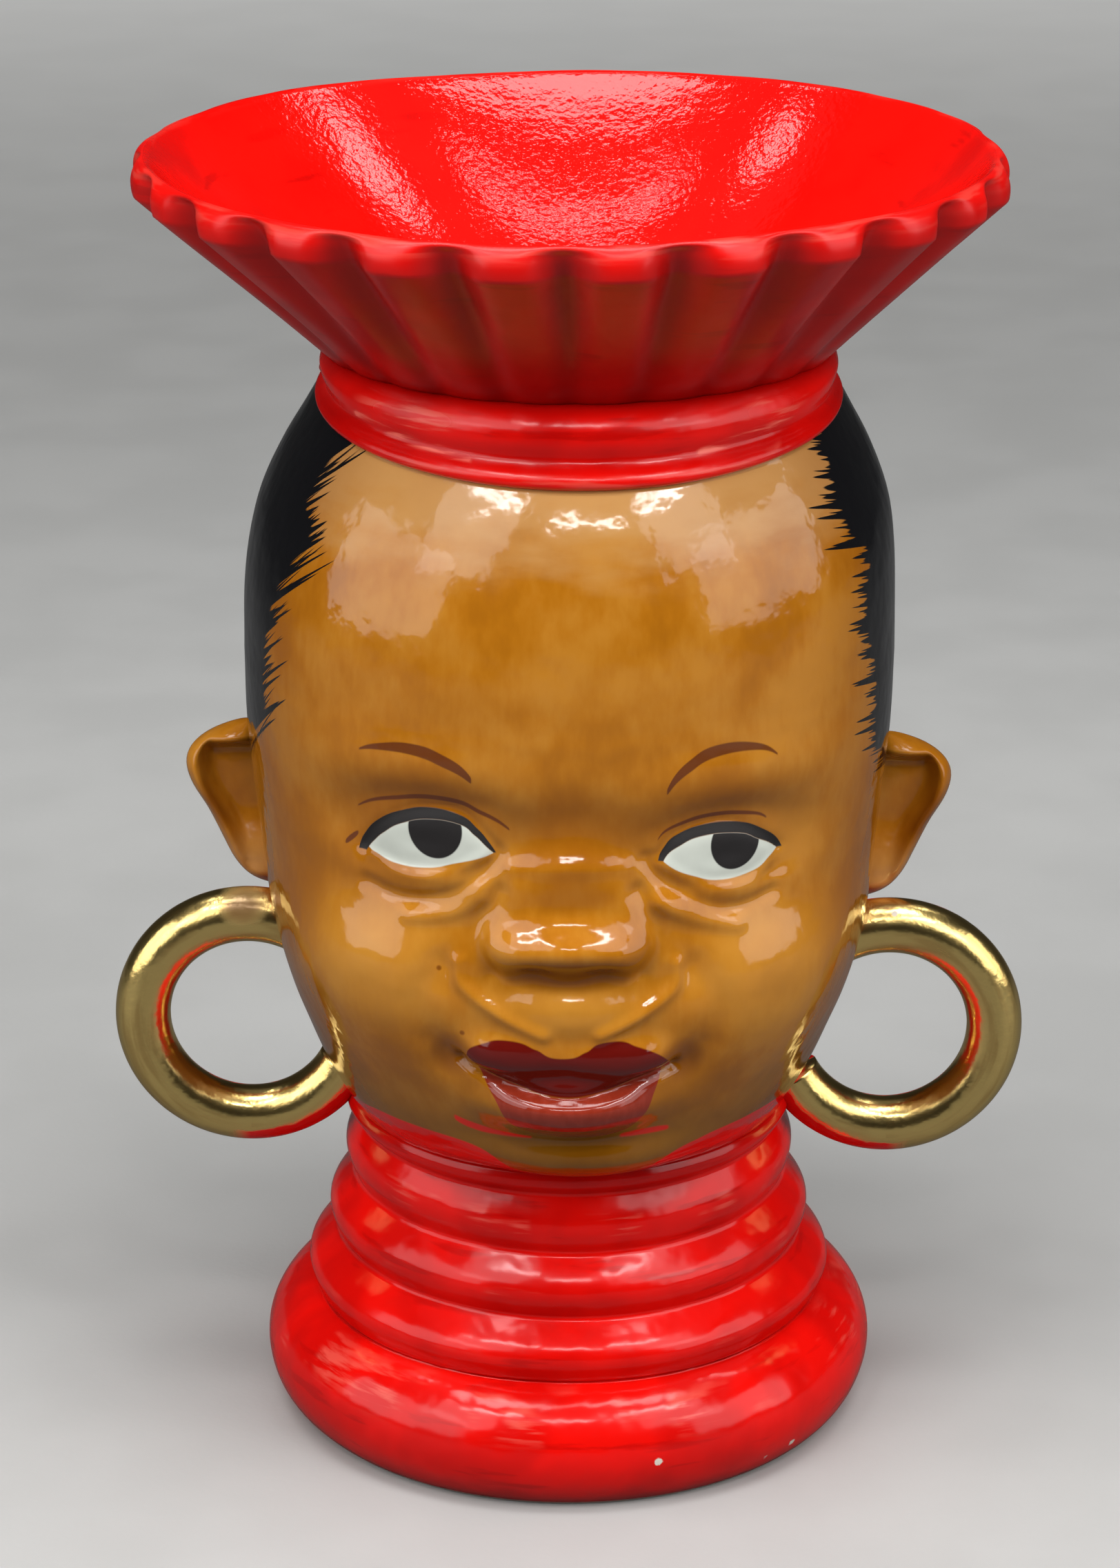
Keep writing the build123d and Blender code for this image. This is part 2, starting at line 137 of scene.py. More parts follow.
# %% Outlines
def arc(centre, radius, start, end, count):
    """Points on a round stretch of an outline. The angles are in degrees, from straight out and up."""
    points = []
    for i in range(count + 1):
        angle = math.radians(blend(start, end, i / count))
        points.append((centre[0] + radius * math.cos(angle), centre[1] + radius * math.sin(angle)))
    return points


def straight(start, end, count):
    """Points on a straight stretch of an outline, without its ends."""
    shares = [i / (count + 1) for i in range(1, count + 1)]
    return [(blend(start[0], end[0], share), blend(start[1], end[1], share)) for share in shares]


def smooth_line(points, steps=6):
    """More points on a smooth curve that runs through some points."""
    ends = [points[0], *points, points[-1]]
    line = []
    for corners in zip(ends, ends[1:], ends[2:], ends[3:]):
        for t in [i / steps for i in range(steps)]:
            place = []
            for a, b, c, d in zip(*corners):
                bend = t * (c - a) + t**2 * (2 * a - 5 * b + 4 * c - d) + t**3 * (3 * b - a - 3 * c + d)
                place.append(b + bend / 2)
            line.append(tuple(place))
    return line + [tuple(points[-1])]


# %% Turn an outline
def spin_round(bm, steps, merge_within):
    """Turns all of a mesh once round the axis: an eighth is spun, and then doubled three times."""
    geometry = bm.verts[:] + bm.edges[:]
    bmesh.ops.spin(bm, geom=geometry, cent=(0, 0, 0), axis=(0, 0, 1), angle=math.tau / 8, steps=steps // 8)
    for share in (8, 4, 2):
        wedge = bmesh.ops.duplicate(bm, geom=bm.verts[:] + bm.edges[:] + bm.faces[:])["geom"]
        points = [item for item in wedge if isinstance(item, bmesh.types.BMVert)]
        bmesh.ops.rotate(bm, verts=points, cent=(0, 0, 0), matrix=Matrix.Rotation(math.tau / share, 3, "Z"))
    bmesh.ops.remove_doubles(bm, verts=bm.verts[:], dist=merge_within)


def turned(outline, steps, closed=True, merge_within=0.001):
    """A mesh spun from an outline of (radius, level) points in millimetres."""
    bm = bmesh.new()
    chain = [bm.verts.new((radius, 0, level)) for radius, level in outline]
    for start, end in zip(chain, chain[1:] + (chain[:1] if closed else [])):
        bm.edges.new((start, end))
    spin_round(bm, steps, merge_within)
    return bm


def as_object(bm, name):
    """Makes a mesh in millimetres an object in metres."""
    bmesh.ops.scale(bm, vec=(MM, MM, MM), verts=bm.verts[:])
    mesh = bpy.data.meshes.new(name)
    bm.to_mesh(mesh)
    bm.free()
    return placed(name, mesh)


def finished(bm, name, node):
    """Makes a closed mesh a smooth object that stands for a CAD node and rides on its body."""
    bmesh.ops.recalc_face_normals(bm, faces=bm.faces[:])
    piece = as_object(bm, name)
    for face in piece.data.polygons:
        face.use_smooth = True
    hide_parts(node)
    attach(piece, "root")
    print(name, len(piece.data.vertices), "points", len(piece.data.polygons), "faces")
    return piece


# %% [markdown]
# ## The foot
#
# The vase stands on a thick roll with a closed floor. Its half section is one round stretch outside, a
# shallow recess below and a hollow inside, so a single spin makes the whole casting. The foot of a
# hand-finished vase isn't quite flat or round, but it has to stand still, so the waves fade out towards the
# ground.

# %% Turn the foot
TURN_STEPS = 224
ROLL_MIDDLE = (37.8, 8.4)
ROLL_RADIUS = 10.4
ROLL_START, ROLL_END = -53.9, 78
FOOT_BORE = 35.4
FOOT_CREASE = 40.2
FLOOR_EDGE = (43, 7.4)
RECESS_LEVEL = 2.4
RECESS_RADIUS = 38.5
# The two small rounds between the recess and the ground, as a middle and a radius.
RECESS_ROUND = ((RECESS_RADIUS - 0.6, 1.6), 0.8)
GROUND_ROUND = ((RECESS_RADIUS + 0.8, 0.6), 0.6)
STANDS_BELOW = 0.2
WAVES_FULL_AT = 6
FOOT_WAVE = (26, 0.35)
FOOT_TILT = (30, 0.25, (90, 0, 0))

foot_outline = [(0, RECESS_LEVEL)]
foot_outline += straight((0, RECESS_LEVEL), (RECESS_RADIUS - 1, RECESS_LEVEL), 8)
foot_outline += arc(*RECESS_ROUND, 90, 0, 4) + arc(*GROUND_ROUND, 180, 270, 4)
foot_outline += arc(ROLL_MIDDLE, ROLL_RADIUS, ROLL_START, ROLL_END, 44)
foot_outline += [(FOOT_CREASE, foot_seam), (FOOT_CREASE - 2, foot_seam), (FOOT_BORE, foot_seam)]
foot_outline += straight((FOOT_BORE, foot_seam), FLOOR_EDGE, 8) + [FLOOR_EDGE]
foot_outline += straight(FLOOR_EDGE, (0, FLOOR_EDGE[1]), 8) + [(0, FLOOR_EDGE[1])]
foot = turned(foot_outline, TURN_STEPS)
for vertex in foot.verts:
    if math.hypot(vertex.co.x, vertex.co.y) > RECESS_RADIUS and vertex.co.z > STANDS_BELOW:
        lifted = eased(vertex.co.z, 0, WAVES_FULL_AT)
        swell_out(vertex.co, hand_wave(vertex.co, *FOOT_WAVE) * lifted)
        vertex.co.z += hand_wave(vertex.co, *FOOT_TILT) * lifted
foot_piece = finished(foot, "foot_roll", "base_roll")

# %% [markdown]
# ## The ringed collar
#
# Three stacked rolls and a short neck rise from the foot. Each roll is fullest a little below its middle, and
# the glaze has run into the creases and softened them. So the bulge between two creases is half a tight roll
# and half a soft wave, and one loop makes all the rolls. The inside follows the creases, as the wall of a
# slip casting does.

# %% Turn the collar
# A ring's row: its level, the radius of the crease below it, and how far it bulges.
COLLAR_RINGS = (
    (foot_seam, 40.0, 2.9),
    (foot_seam + 9.2, 36.6, 2.6),
    (foot_seam + 19.0, 34.0, 1.7),
    (foot_seam + 28.6, 33.3, 1.1),
)
NECK_RADIUS = 34.4
COLLAR_WALL = 4.8
CREASE_SOFTNESS = 0.5
RING_SAG = 0.86
RING_FULLNESS = 2.6
COLLAR_POINTS = 64
COLLAR_WAVE = (24, 0.4)
COLLAR_TILT = (34, 0.5, (0, 70, 0))


def collar_radius(level):
    """The collar's outer radius at a level."""
    tops = [ring[0] for ring in COLLAR_RINGS[1:]] + [neck_seam]
    creases = [ring[1] for ring in COLLAR_RINGS[1:]] + [NECK_RADIUS]
    for (bottom, crease, bulge), top, next_crease in zip(COLLAR_RINGS, tops, creases):
        if level <= top:
            share = min(max((level - bottom) / (top - bottom), 0), 1)
            roll = 1 - abs(2 * share**RING_SAG - 1) ** RING_FULLNESS
            wave = (1 - math.cos(math.tau * share)) / 2
            return blend(crease, next_crease, share) + bulge * blend(roll, wave, CREASE_SOFTNESS)
    return NECK_RADIUS


collar_height = neck_seam - foot_seam
collar_levels = [foot_seam + collar_height * i / COLLAR_POINTS for i in range(COLLAR_POINTS + 1)]
collar_outline = [(collar_radius(level), level) for level in collar_levels]
collar_outline += [(NECK_RADIUS - COLLAR_WALL, neck_seam)]
collar_outline += [(crease - COLLAR_WALL, bottom) for bottom, crease, bulge in reversed(COLLAR_RINGS)]
collar = turned(collar_outline, TURN_STEPS)
for vertex in collar.verts:
    if math.hypot(vertex.co.x, vertex.co.y) > collar_radius(vertex.co.z) - COLLAR_WALL / 2:
        swell_out(vertex.co, hand_wave(vertex.co, *COLLAR_WAVE))
        inside = min(vertex.co.z - foot_seam, neck_seam - vertex.co.z)
        vertex.co.z += hand_wave(vertex.co, *COLLAR_TILT) * eased(inside, 0, 3)
collar_piece = finished(collar, "ring_collar", "ringed_collar")

# %% [markdown]
# ## The head
#
# The head is one hollow casting with the face modelled on it. Its plain form is an egg whose sections are
# soft ellipses, narrow at the neck, full at the brow and closed in at the crown. A sculptor would add the
# face to the egg by hand. Here a spin gives an even skin of points, and every point is then moved to its
# place on the egg and out by the face's relief, as a sculpting brush would.

# %% The egg
# A row: the level as a share from the neck to the widest level, then how far the half width, the front and
# the back have grown from the neck's radius to the full head's.
NECK_SHARES = (
    (0.00, 0.00, 0.00, 0.00),
    (0.04, 0.07, 0.30, 0.04),
    (0.09, 0.19, 0.55, 0.12),
    (0.15, 0.33, 0.70, 0.25),
    (0.22, 0.46, 0.79, 0.39),
    (0.30, 0.59, 0.85, 0.54),
    (0.41, 0.71, 0.89, 0.71),
    (0.54, 0.82, 0.91, 0.85),
    (0.68, 0.91, 0.93, 0.94),
    (0.84, 0.98, 0.97, 0.99),
    (1.00, 1.00, 1.00, 1.00),
)
# The same from the crown's radius down to the widest level.
CROWN_SHARES = (
    (0.00, 0.00, 0.00, 0.00),
    (0.14, 0.28, 0.30, 0.25),
    (0.28, 0.56, 0.57, 0.53),
    (0.44, 0.80, 0.78, 0.78),
    (0.60, 0.92, 0.91, 0.91),
    (0.78, 0.98, 0.98, 0.98),
    (1.00, 1.00, 1.00, 1.00),
)
HEAD_SIZES = (head_half_width, 52.0, 59.4)
WIDEST_RISE = 74.0
CROWN_RISE = 41.8
CROWN_RADIUS = 38.0
HEAD_WALL = 5.0
SQUARENESS = 0.2
EYE_LEVEL = 110
widest_level = neck_seam + WIDEST_RISE
crown_level = widest_level + CROWN_RISE


def smooth_share(rows, column, height):
    """One column of a table at a height, on a smooth curve through its rows."""
    heights = [row[0] for row in rows]
    values = [row[column] for row in rows]
    last = len(rows) - 1
    slopes = []
    for i in range(len(rows)):
        below, above = max(i - 1, 0), min(i + 1, last)
        slopes.append((values[above] - values[below]) / (heights[above] - heights[below]))
    i = min(max(sum(1 for row_height in heights if row_height <= height) - 1, 0), last - 1)
    step = heights[i + 1] - heights[i]
    t = (height - heights[i]) / step
    rise = values[i + 1] - values[i]
    start, end = slopes[i] * step, slopes[i + 1] * step
    return values[i] + t * start + t**2 * (3 * rise - 2 * start - end) + t**3 * (start + end - 2 * rise)


@lru_cache(maxsize=None)
def egg_section(level):
    """The egg's half width, front depth, back depth and squareness power at a level."""
    if level <= widest_level:
        rows, height, end = NECK_SHARES, (level - neck_seam) / WIDEST_RISE, NECK_RADIUS
    else:
        rows, height, end = CROWN_SHARES, (crown_level - level) / CROWN_RISE, CROWN_RADIUS
    grown = [smooth_share(rows, column, height) for column in (1, 2, 3)]
    sizes = [end + share * (full - end) for share, full in zip(grown, HEAD_SIZES)]
    return (*sizes, 2 / (2 + SQUARENESS * grown[0]))


print("egg at the eyes", [round(value, 1) for value in egg_section(EYE_LEVEL)])

# %% [markdown]
# ### The relief of the face
#
# Each feature is a soft mound or hollow with a place, a spread and a height. Added up they give cheeks,
# lips and a nose that flow into each other, as wet clay does. A mound may fall off faster below than above,
# as the ball of a nose does, and its top may be broad or pointed. The lines where two forms meet are narrow
# furrows that follow a curve, and a furrow with a negative depth is a ridge. NumPy works out the relief for
# all points at once.

# %% Mounds and furrows
# A mound's row: across, level, spread across, above and below, breadth of the top, and height.
MOUNDS = (
    # The nose: its ball, the broad rise to it, the wings and the closed nostrils.
    (-0.2, 94.4, 10.4, 3.8, 4.2, 1.1, 5.0),
    (0.0, 100.0, 11.6, 8.4, 6.0, 1.7, 1.9),
    (-8.6, 93.8, 3.6, 3.8, 3.2, 1.1, 1.5),
    (8.0, 93.4, 3.6, 3.8, 3.2, 1.1, 1.5),
    (-5.2, 91.2, 2.6, 1.4, 1.4, 1.0, -0.9),
    (4.8, 91.0, 2.6, 1.4, 1.4, 1.0, -0.9),
    # The mouth: the ledge above, both halves of the upper lip, the lower lip, the swell and the hollow below.
    (0.0, 85.2, 11.0, 3.2, 4.8, 1.2, 2.5),
    (-7.6, 78.0, 7.2, 3.2, 3.0, 1.3, 2.0),
    (6.6, 77.4, 7.2, 3.2, 3.0, 1.3, 2.0),
    (-0.2, 68.8, 11.4, 3.8, 4.4, 1.5, 3.6),
    (0.0, 75.0, 18.0, 12.0, 12.0, 1.2, 3.0),
    (0.0, 62.4, 11.0, 1.8, 1.6, 1.0, -0.8),
    # The chin, the cheeks and the dimples at the corners of the mouth.
    (2.0, 57.2, 14.0, 4.8, 4.6, 1.2, 3.6),
    (-27.0, 86.6, 13.5, 10.6, 13.4, 1.3, 4.7),
    (27.5, 85.6, 13.5, 10.6, 13.4, 1.3, 4.7),
    (-17.2, 76.6, 2.8, 3.4, 3.4, 1.0, -1.8),
    (16.6, 75.8, 2.8, 3.4, 3.4, 1.0, -1.8),
    # The eyes: the hollows, the eyeballs, the nose's root, the pads below and the brows.
    (-20.6, 110.6, 13.6, 6.6, 5.6, 1.5, -2.6),
    (22.2, 108.4, 13.2, 6.4, 5.6, 1.5, -2.6),
    (-20.4, 109.9, 9.8, 5.0, 4.8, 1.8, 2.5),
    (21.9, 107.6, 9.4, 4.7, 4.6, 1.8, 2.5),
    (0.6, 112.4, 8.0, 4.6, 4.2, 1.2, -0.9),
    (-19.0, 103.4, 9.0, 1.8, 2.6, 1.2, 1.0),
    (20.6, 101.0, 9.0, 1.8, 2.6, 1.2, 1.0),
    (-22.0, 120.0, 15.0, 4.4, 4.4, 1.2, 0.8),
    (23.0, 119.0, 15.0, 4.4, 4.4, 1.2, 0.8),
)
# A furrow's row: its half width, its depth and the points that it runs through as (across, level).
FURROWS = (
    # The folds of the upper lids, the ridges of the lower ones and the folds below them.
    (0.8, 0.5, (-30.0, 106.8), (-27.6, 111.0), (-24.2, 113.4), (-20.0, 114.6), (-15.5, 114.0), (-10.8, 109.4)),
    (0.8, 0.5, (13.0, 107.9), (15.3, 110.5), (19.3, 111.9), (23.6, 111.7), (27.6, 109.5), (30.6, 106.3)),
    (0.8, -0.35, (-28.6, 105.6), (-24.2, 104.2), (-20.6, 104.2), (-16.6, 105.4), (-12.2, 108.0)),
    (0.8, -0.35, (13.5, 106.4), (17.9, 103.5), (22.0, 102.2), (26.1, 102.5), (29.0, 104.4)),
    (1.1, 0.7, (-10.4, 108.2), (-13.2, 104.6), (-18.0, 101.6), (-24.0, 100.4), (-29.0, 101.6)),
    (1.1, 0.7, (11.2, 107.5), (12.6, 104.9), (16.0, 102.0), (22.6, 99.2), (29.0, 100.0)),
    # The ridges over the bridge and below the eyes, and the parting of the lips.
    (1.3, -0.45, (-8.4, 106.6), (0.0, 107.2), (8.0, 106.7)),
    (1.2, -0.6, (-12.4, 101.4), (-16.6, 99.0), (-22.6, 97.8)),
    (1.2, -0.6, (12.6, 100.8), (16.8, 98.2), (23.4, 96.4)),
    (0.9, 1.5, (-15.4, 76.2), (-13.2, 74.8), (-8.0, 72.8), (-0.8, 71.6), (5.3, 72.2), (10.0, 73.6), (14.8, 75.0)),
    # The sides of the nose, the ridges from its wings to the lip, and the folds beside the mouth.
    (1.5, 1.0, (-10.8, 90.8), (-13.2, 94.6), (-12.8, 98.6), (-10.2, 103.0)),
    (1.5, 1.0, (10.2, 90.6), (12.6, 94.4), (12.2, 98.4), (9.8, 102.8)),
    (1.0, -0.8, (-15.6, 92.0), (-14.6, 88.4), (-9.0, 84.2), (-3.6, 81.8)),
    (1.0, -0.8, (15.0, 91.6), (14.2, 88.0), (9.0, 84.0), (4.2, 81.8)),
    (2.4, 0.8, (-17.8, 91.0), (-20.2, 85.6), (-19.6, 79.8)),
    (2.4, 0.8, (17.2, 90.6), (19.8, 85.0), (19.0, 79.0)),
)


def distance_to_path(x, level, points):
    """The distances from places on the face to a smooth line through some points, in millimetres."""
    nearest = np.full(x.shape, np.inf)
    path = smooth_line(points)
    for (ax, al), (bx, bl) in zip(path, path[1:]):
        dx, dl = bx - ax, bl - al
        share = np.clip(((x - ax) * dx + (level - al) * dl) / (dx * dx + dl * dl), 0, 1)
        nearest = np.minimum(nearest, np.hypot(x - ax - share * dx, level - al - share * dl))
    return nearest


def face_relief(x, level):
    """How far the face stands out of the egg at places seen from the front."""
    total = np.zeros(x.shape)
    for middle, height, spread_across, above, below, breadth, rise in MOUNDS:
        spread_up = np.where(level > height, above, below)
        far = ((x - middle) / spread_across) ** 2 + ((level - height) / spread_up) ** 2
        total += rise * np.exp(-(far**breadth))
    for half_width, depth, *path in FURROWS:
        total -= depth * np.exp(-((distance_to_path(x, level, path) / half_width) ** 2))
    return total


# %% [markdown]
# ### Model the head
#
# The outline has four corners: the neck outside, the crown outside, and the same two inside. Subdividing
# its sides gives rows of points as fine as the features need, and one spin closes the shell. The points lie
# closer together in front, where the face is.

# %% Spin the skin and sculpt it
HEAD_STEPS = 352
SIDE_ROWS = (218, 2, 40, 2)
OUTER_RING, INNER_RING = 1.0, 0.5
FRONT_CROWDING = 0.55
FACE_FADE = 8
HEAD_WAVE = (22, 0.3)
CROWN_LEAN = 1.4
LEAN_FROM = 130.0

head = bmesh.new()
corners = []
for radius, levels in ((OUTER_RING, (neck_seam, crown_level)), (INNER_RING, (crown_level, neck_seam))):
    corners += [head.verts.new((radius, 0, level)) for level in levels]
sides = [head.edges.new((corners[i], corners[(i + 1) % 4])) for i in range(4)]
for side, rows in zip(sides, SIDE_ROWS):
    bmesh.ops.subdivide_edges(head, edges=[side], cuts=rows)
spin_round(head, HEAD_STEPS, 0.0001)


def egg_point(turn, level, depth):
    """A place on the egg: turn is counted from straight ahead, and depth from the outside in."""
    half_width, front, back, power = egg_section(round(level, 4))
    inset = depth * HEAD_WALL
    across, along = math.sin(turn), math.cos(turn)
    reach = (front if along > 0 else back) - inset
    x = (half_width - inset) * math.copysign(abs(across) ** power, across)
    y = -reach * math.copysign(abs(along) ** power, along)
    return Vector((x, y, level))


skin = []
for vertex in head.verts:
    turn = math.atan2(vertex.co.x, -vertex.co.y)
    turn -= FRONT_CROWDING * math.sin(turn)
    depth = (OUTER_RING - math.hypot(vertex.co.x, vertex.co.y)) / (OUTER_RING - INNER_RING)
    vertex.co = egg_point(turn, vertex.co.z, depth)
    if depth < 0.01:
        skin.append(vertex)
places = np.array([vertex.co for vertex in skin])
in_front = np.clip(-places[:, 1] / FACE_FADE, 0, 1)
stand_out = face_relief(places[:, 0], places[:, 2]) * in_front
for vertex, rise in zip(skin, stand_out):
    swell_out(vertex.co, rise + hand_wave(vertex.co, *HEAD_WAVE))
for vertex in head.verts:
    vertex.co.x += CROWN_LEAN * eased(vertex.co.z, LEAN_FROM, crown_level)
print("the nose stands out", round(float(stand_out.max()), 1), "mm")
head_piece = finished(head, "head_casting", "head_shell")

# %% [markdown]
# ## The hat's band
#
# A soft band hides the seam between the head and the brim. Its upper half bulges like a cushion, a shallow
# hollow follows, and a lip below turns out over the forehead. The band dips in front and behind: on the
# sides it is short and no wider than the crown. So the outline is turned as a round band, and each point is
# then moved out in front and behind, and up on the sides, most at the lip.

# %% Turn the band
BAND_PROFILE = (
    (37.9, 0.0), (38.1, -1.5), (38.2, -3.2), (37.8, -4.9), (37.3, -6.3), (37.1, -7.3),
    (37.5, -8.2), (38.2, -9.0), (38.5, -9.9), (38.1, -10.8), (36.9, -11.4),
)
BAND_HEIGHT = 11.4
BAND_INSIDE = 34.0
BAND_STEPS = 240
BAND_WAVE = (22, 0.4)
BAND_PUSH = 6.0
PUSH_AHEAD, PUSH_LOW = 0.9, 0.36
BAND_LIFT = 5.6
BAND_SHIFT = 1.4

band_outline = [(radius, brim_seam + level) for radius, level in smooth_line(BAND_PROFILE, 5)]
band_outline += [(BAND_INSIDE, brim_seam - BAND_HEIGHT), (BAND_INSIDE, brim_seam)]
band = turned(band_outline, BAND_STEPS)
for vertex in band.verts:
    reach = math.hypot(vertex.co.x, vertex.co.y)
    ahead = abs(vertex.co.y) / reach
    lowered = (brim_seam - vertex.co.z) / BAND_HEIGHT
    push = BAND_PUSH * ahead**PUSH_AHEAD * max(lowered, 0) ** PUSH_LOW
    push *= eased(reach, BAND_INSIDE, BAND_INSIDE + 2)
    swell_out(vertex.co, hand_wave(vertex.co, *BAND_WAVE) + push)
    vertex.co.x += BAND_SHIFT
    vertex.co.z += BAND_LIFT * (1 - ahead) * lowered
band_piece = finished(band, "hat_band_soft", "hat_band")

# %% [markdown]
# ## The fluted brim
#
# The brim is a plain bowl inside and a fluted flare outside: wide, round ribs with a narrow cusp between
# each two, which fade out towards the band. The bowl and the lip are turned first. Then each point of the
# outside is drawn towards the bowl by the flute at its place. It moves by a share of the wall, so the clay
# stays thick enough however deep the flute is.

# %% Turn the brim and flute it
FLUTES = 25
FLUTE_STEPS = 16
FIRST_GROOVE = math.radians(-1)
GROOVE_NARROWNESS = 2.2
GROOVE_SHARE = 0.7
FOOT_GROOVE_SHARE = 0.08
RIM_OUTSIDE = 64.5
RIM_INSIDE = 60.4
RIM_DROP = 3.4
LIP_START, LIP_END = -24, 120
LIP_FROM = 0.9
FLARE_FOOT = 38.6
BOWL_FOOT = (33.0, brim_seam + 5.4)
BOWL_BULGE = 1.6
THROAT = [(32.5, brim_seam + 2.6), (32.4, brim_seam)]
BRIM_WAVE = (30, 0.5)
BRIM_TILT = (36, 0.6, (50, 0, 0))
BRIM_LEAN = 1.4

rim_middle = (RIM_OUTSIDE + RIM_INSIDE) / 2
rim_half = (RIM_OUTSIDE - RIM_INSIDE) / 2
lip = []
for radius, level in arc((0, 0), 1, LIP_START, LIP_END, 22):
    lip.append((rim_middle + rim_half * radius, rim_level - RIM_DROP + RIM_DROP * level))


def bowl_radius(level):
    """The radius of the bowl's inside at a level."""
    share = min(max((level - BOWL_FOOT[1]) / (lip[-1][1] - BOWL_FOOT[1]), 0), 1)
    return blend(BOWL_FOOT[0], lip[-1][0], share) + BOWL_BULGE * 4 * share * (1 - share)


def flute(turn):
    """0 on the middle of a rib and 1 at the bottom of a groove."""
    return ((1 + math.cos((turn - FIRST_GROOVE) * FLUTES)) / 2) ** GROOVE_NARROWNESS


brim_outline = [(FLARE_FOOT, brim_seam)]
brim_outline += straight((FLARE_FOOT, brim_seam), lip[0], 44) + lip
brim_outline += [(bowl_radius(level), level) for radius, level in straight(lip[-1], BOWL_FOOT, 40)]
brim_outline += [BOWL_FOOT] + THROAT
brim = turned(brim_outline, FLUTES * FLUTE_STEPS)
for vertex in brim.verts:
    turn = math.atan2(vertex.co.x, -vertex.co.y)
    height = (vertex.co.z - brim_seam) / (rim_level - brim_seam)
    clay = max(math.hypot(vertex.co.x, vertex.co.y) - bowl_radius(vertex.co.z), 0)
    outer = eased(clay, 0, RIM_OUTSIDE - RIM_INSIDE) if height > LIP_FROM else 1
    drawn = blend(FOOT_GROOVE_SHARE, GROOVE_SHARE, eased(height, 0.1, 0.95)) * flute(turn)
    swell_out(vertex.co, hand_wave(vertex.co, *BRIM_WAVE) - clay * drawn * outer)
    vertex.co.x += BRIM_LEAN * (1 - height)
    vertex.co.z += hand_wave(vertex.co, *BRIM_TILT) * eased(height, 0.3, 1)
brim_piece = finished(brim, "brim_fluted", "fluted_brim")

# %% [markdown]
# ## The ears
#
# Each ear is a small casting of its own: a cupped shell with a rolled rim that narrows to the lobe. It starts
# as a sphere with its poles at the top and the lobe. Every ring of the sphere is moved to the ear's outline,
# and the front is then pressed in behind the rim, as a thumb would press it.

# %% Sculpt the ears
# A row: the height as a share from the lobe to the top, how far out the edge lies past the head's half
# width, and the thickness.
EAR_OUTLINE = (
    (0.00, 3.4, 5.0),
    (0.12, 4.0, 6.6),
    (0.28, 4.8, 8.0),
    (0.46, 6.7, 9.4),
    (0.64, 9.5, 10.4),
    (0.80, 10.9, 10.6),
    (0.92, 10.1, 9.4),
    (1.00, 7.4, 7.4),
)
EAR_TOPS = (110.2, 108.0)
EAR_HEIGHT = 27.0
EAR_BACK = 4.4
EAR_FULLNESS, EAR_TAPER = 3.2, 0.42
POLE_REACH = 0.55
EAR_RIM = 3.0
RIM_AT_TOP, RIM_AT_LOBE = 0.9, 0.7
EAR_CUP_DEPTH = 4.6
ROLL_HEIGHT, ROLL_AT = 1.1, 1.7
SEAT_DEPTH = 2.4


def side_of_head(y, level):
    """The egg's half width at a distance ahead of or behind the axis."""
    half_width, front, back, power = egg_section(min(max(level, neck_seam), crown_level))
    depth = front if y < 0 else back
    return half_width * max(1 - abs(y / depth) ** (2 / power), 0) ** (power / 2)


def sculpt_ear(name, node, side, top):
    """One ear, whose top is at a level, on the side of the head that the sign gives."""
    ear = bmesh.new()
    bmesh.ops.create_uvsphere(ear, u_segments=72, v_segments=56, radius=1)
    for vertex in ear.verts:
        share = (vertex.co.z + 1) / 2
        level = top - EAR_HEIGHT * (1 - share)
        reach, thickness = (smooth_share(EAR_OUTLINE, column, share) for column in (1, 2))
        poleward = abs(vertex.co.z)
        roundness = (1 - poleward**EAR_FULLNESS) ** EAR_TAPER if poleward < 1 else 0
        flat = math.hypot(vertex.co.x, vertex.co.y) or 1
        across, along = vertex.co.x / flat, vertex.co.y / flat
        root = side_of_head(EAR_BACK, level) - SEAT_DEPTH
        edge = root + (head_half_width + reach - root) * blend(POLE_REACH, 1, roundness)
        out = root + (edge - root) * (1 + across * roundness) / 2
        y = EAR_BACK + along * roundness * thickness / 2
        if along < 0:
            rim = min(edge - out, (top - level) * RIM_AT_TOP, (level - top + EAR_HEIGHT) * RIM_AT_LOBE)
            cup = eased(rim, EAR_RIM * 0.55, EAR_RIM * 1.5) * eased(share, 0.16, 0.5)
            y += cup * EAR_CUP_DEPTH * -along
            y -= ROLL_HEIGHT * math.exp(-(((rim - ROLL_AT) / ROLL_HEIGHT) ** 2)) * -along
        seat = side_of_head(y, level) - SEAT_DEPTH
        vertex.co = Vector((side * max(out, seat), y, level))
    ways = {"use_axis_x": True, "use_axis_y": True, "use_axis_z": True}
    bmesh.ops.smooth_vert(ear, verts=ear.verts[:], factor=0.5, **ways)
    return finished(ear, name, node)


ear_pieces = [
    sculpt_ear("ear_left", "left_ear", -1, EAR_TOPS[0]),
    sculpt_ear("ear_right", "right_ear", 1, EAR_TOPS[1]),
]

# %% [markdown]
# ## The hoops
#
# The hoops are thick rolls of clay bent to a ring, with both ends pressed against the head: one below the
# ear and one under the jaw. A circle spun through part of a turn makes the roll. The ends are pushed back to
# just under the head's skin, so that they look luted on and don't show inside the vase.

# %% Bend the hoops
# A hoop's row: its side of the head, and the height of its middle above the neck's seam.
HOOPS = ((-1, 12.7), (1, 10.8))
HOOP_RADIUS = 16.8
HOOP_ROLL = 4.3
HOOP_OUT = 0.5
HOOP_AHEAD = 3.0
HOOP_START, HOOP_END = -152, 122
HOOP_STEPS, ROLL_POINTS = 150, 44
HOOP_WAVE = (16, 0.03)


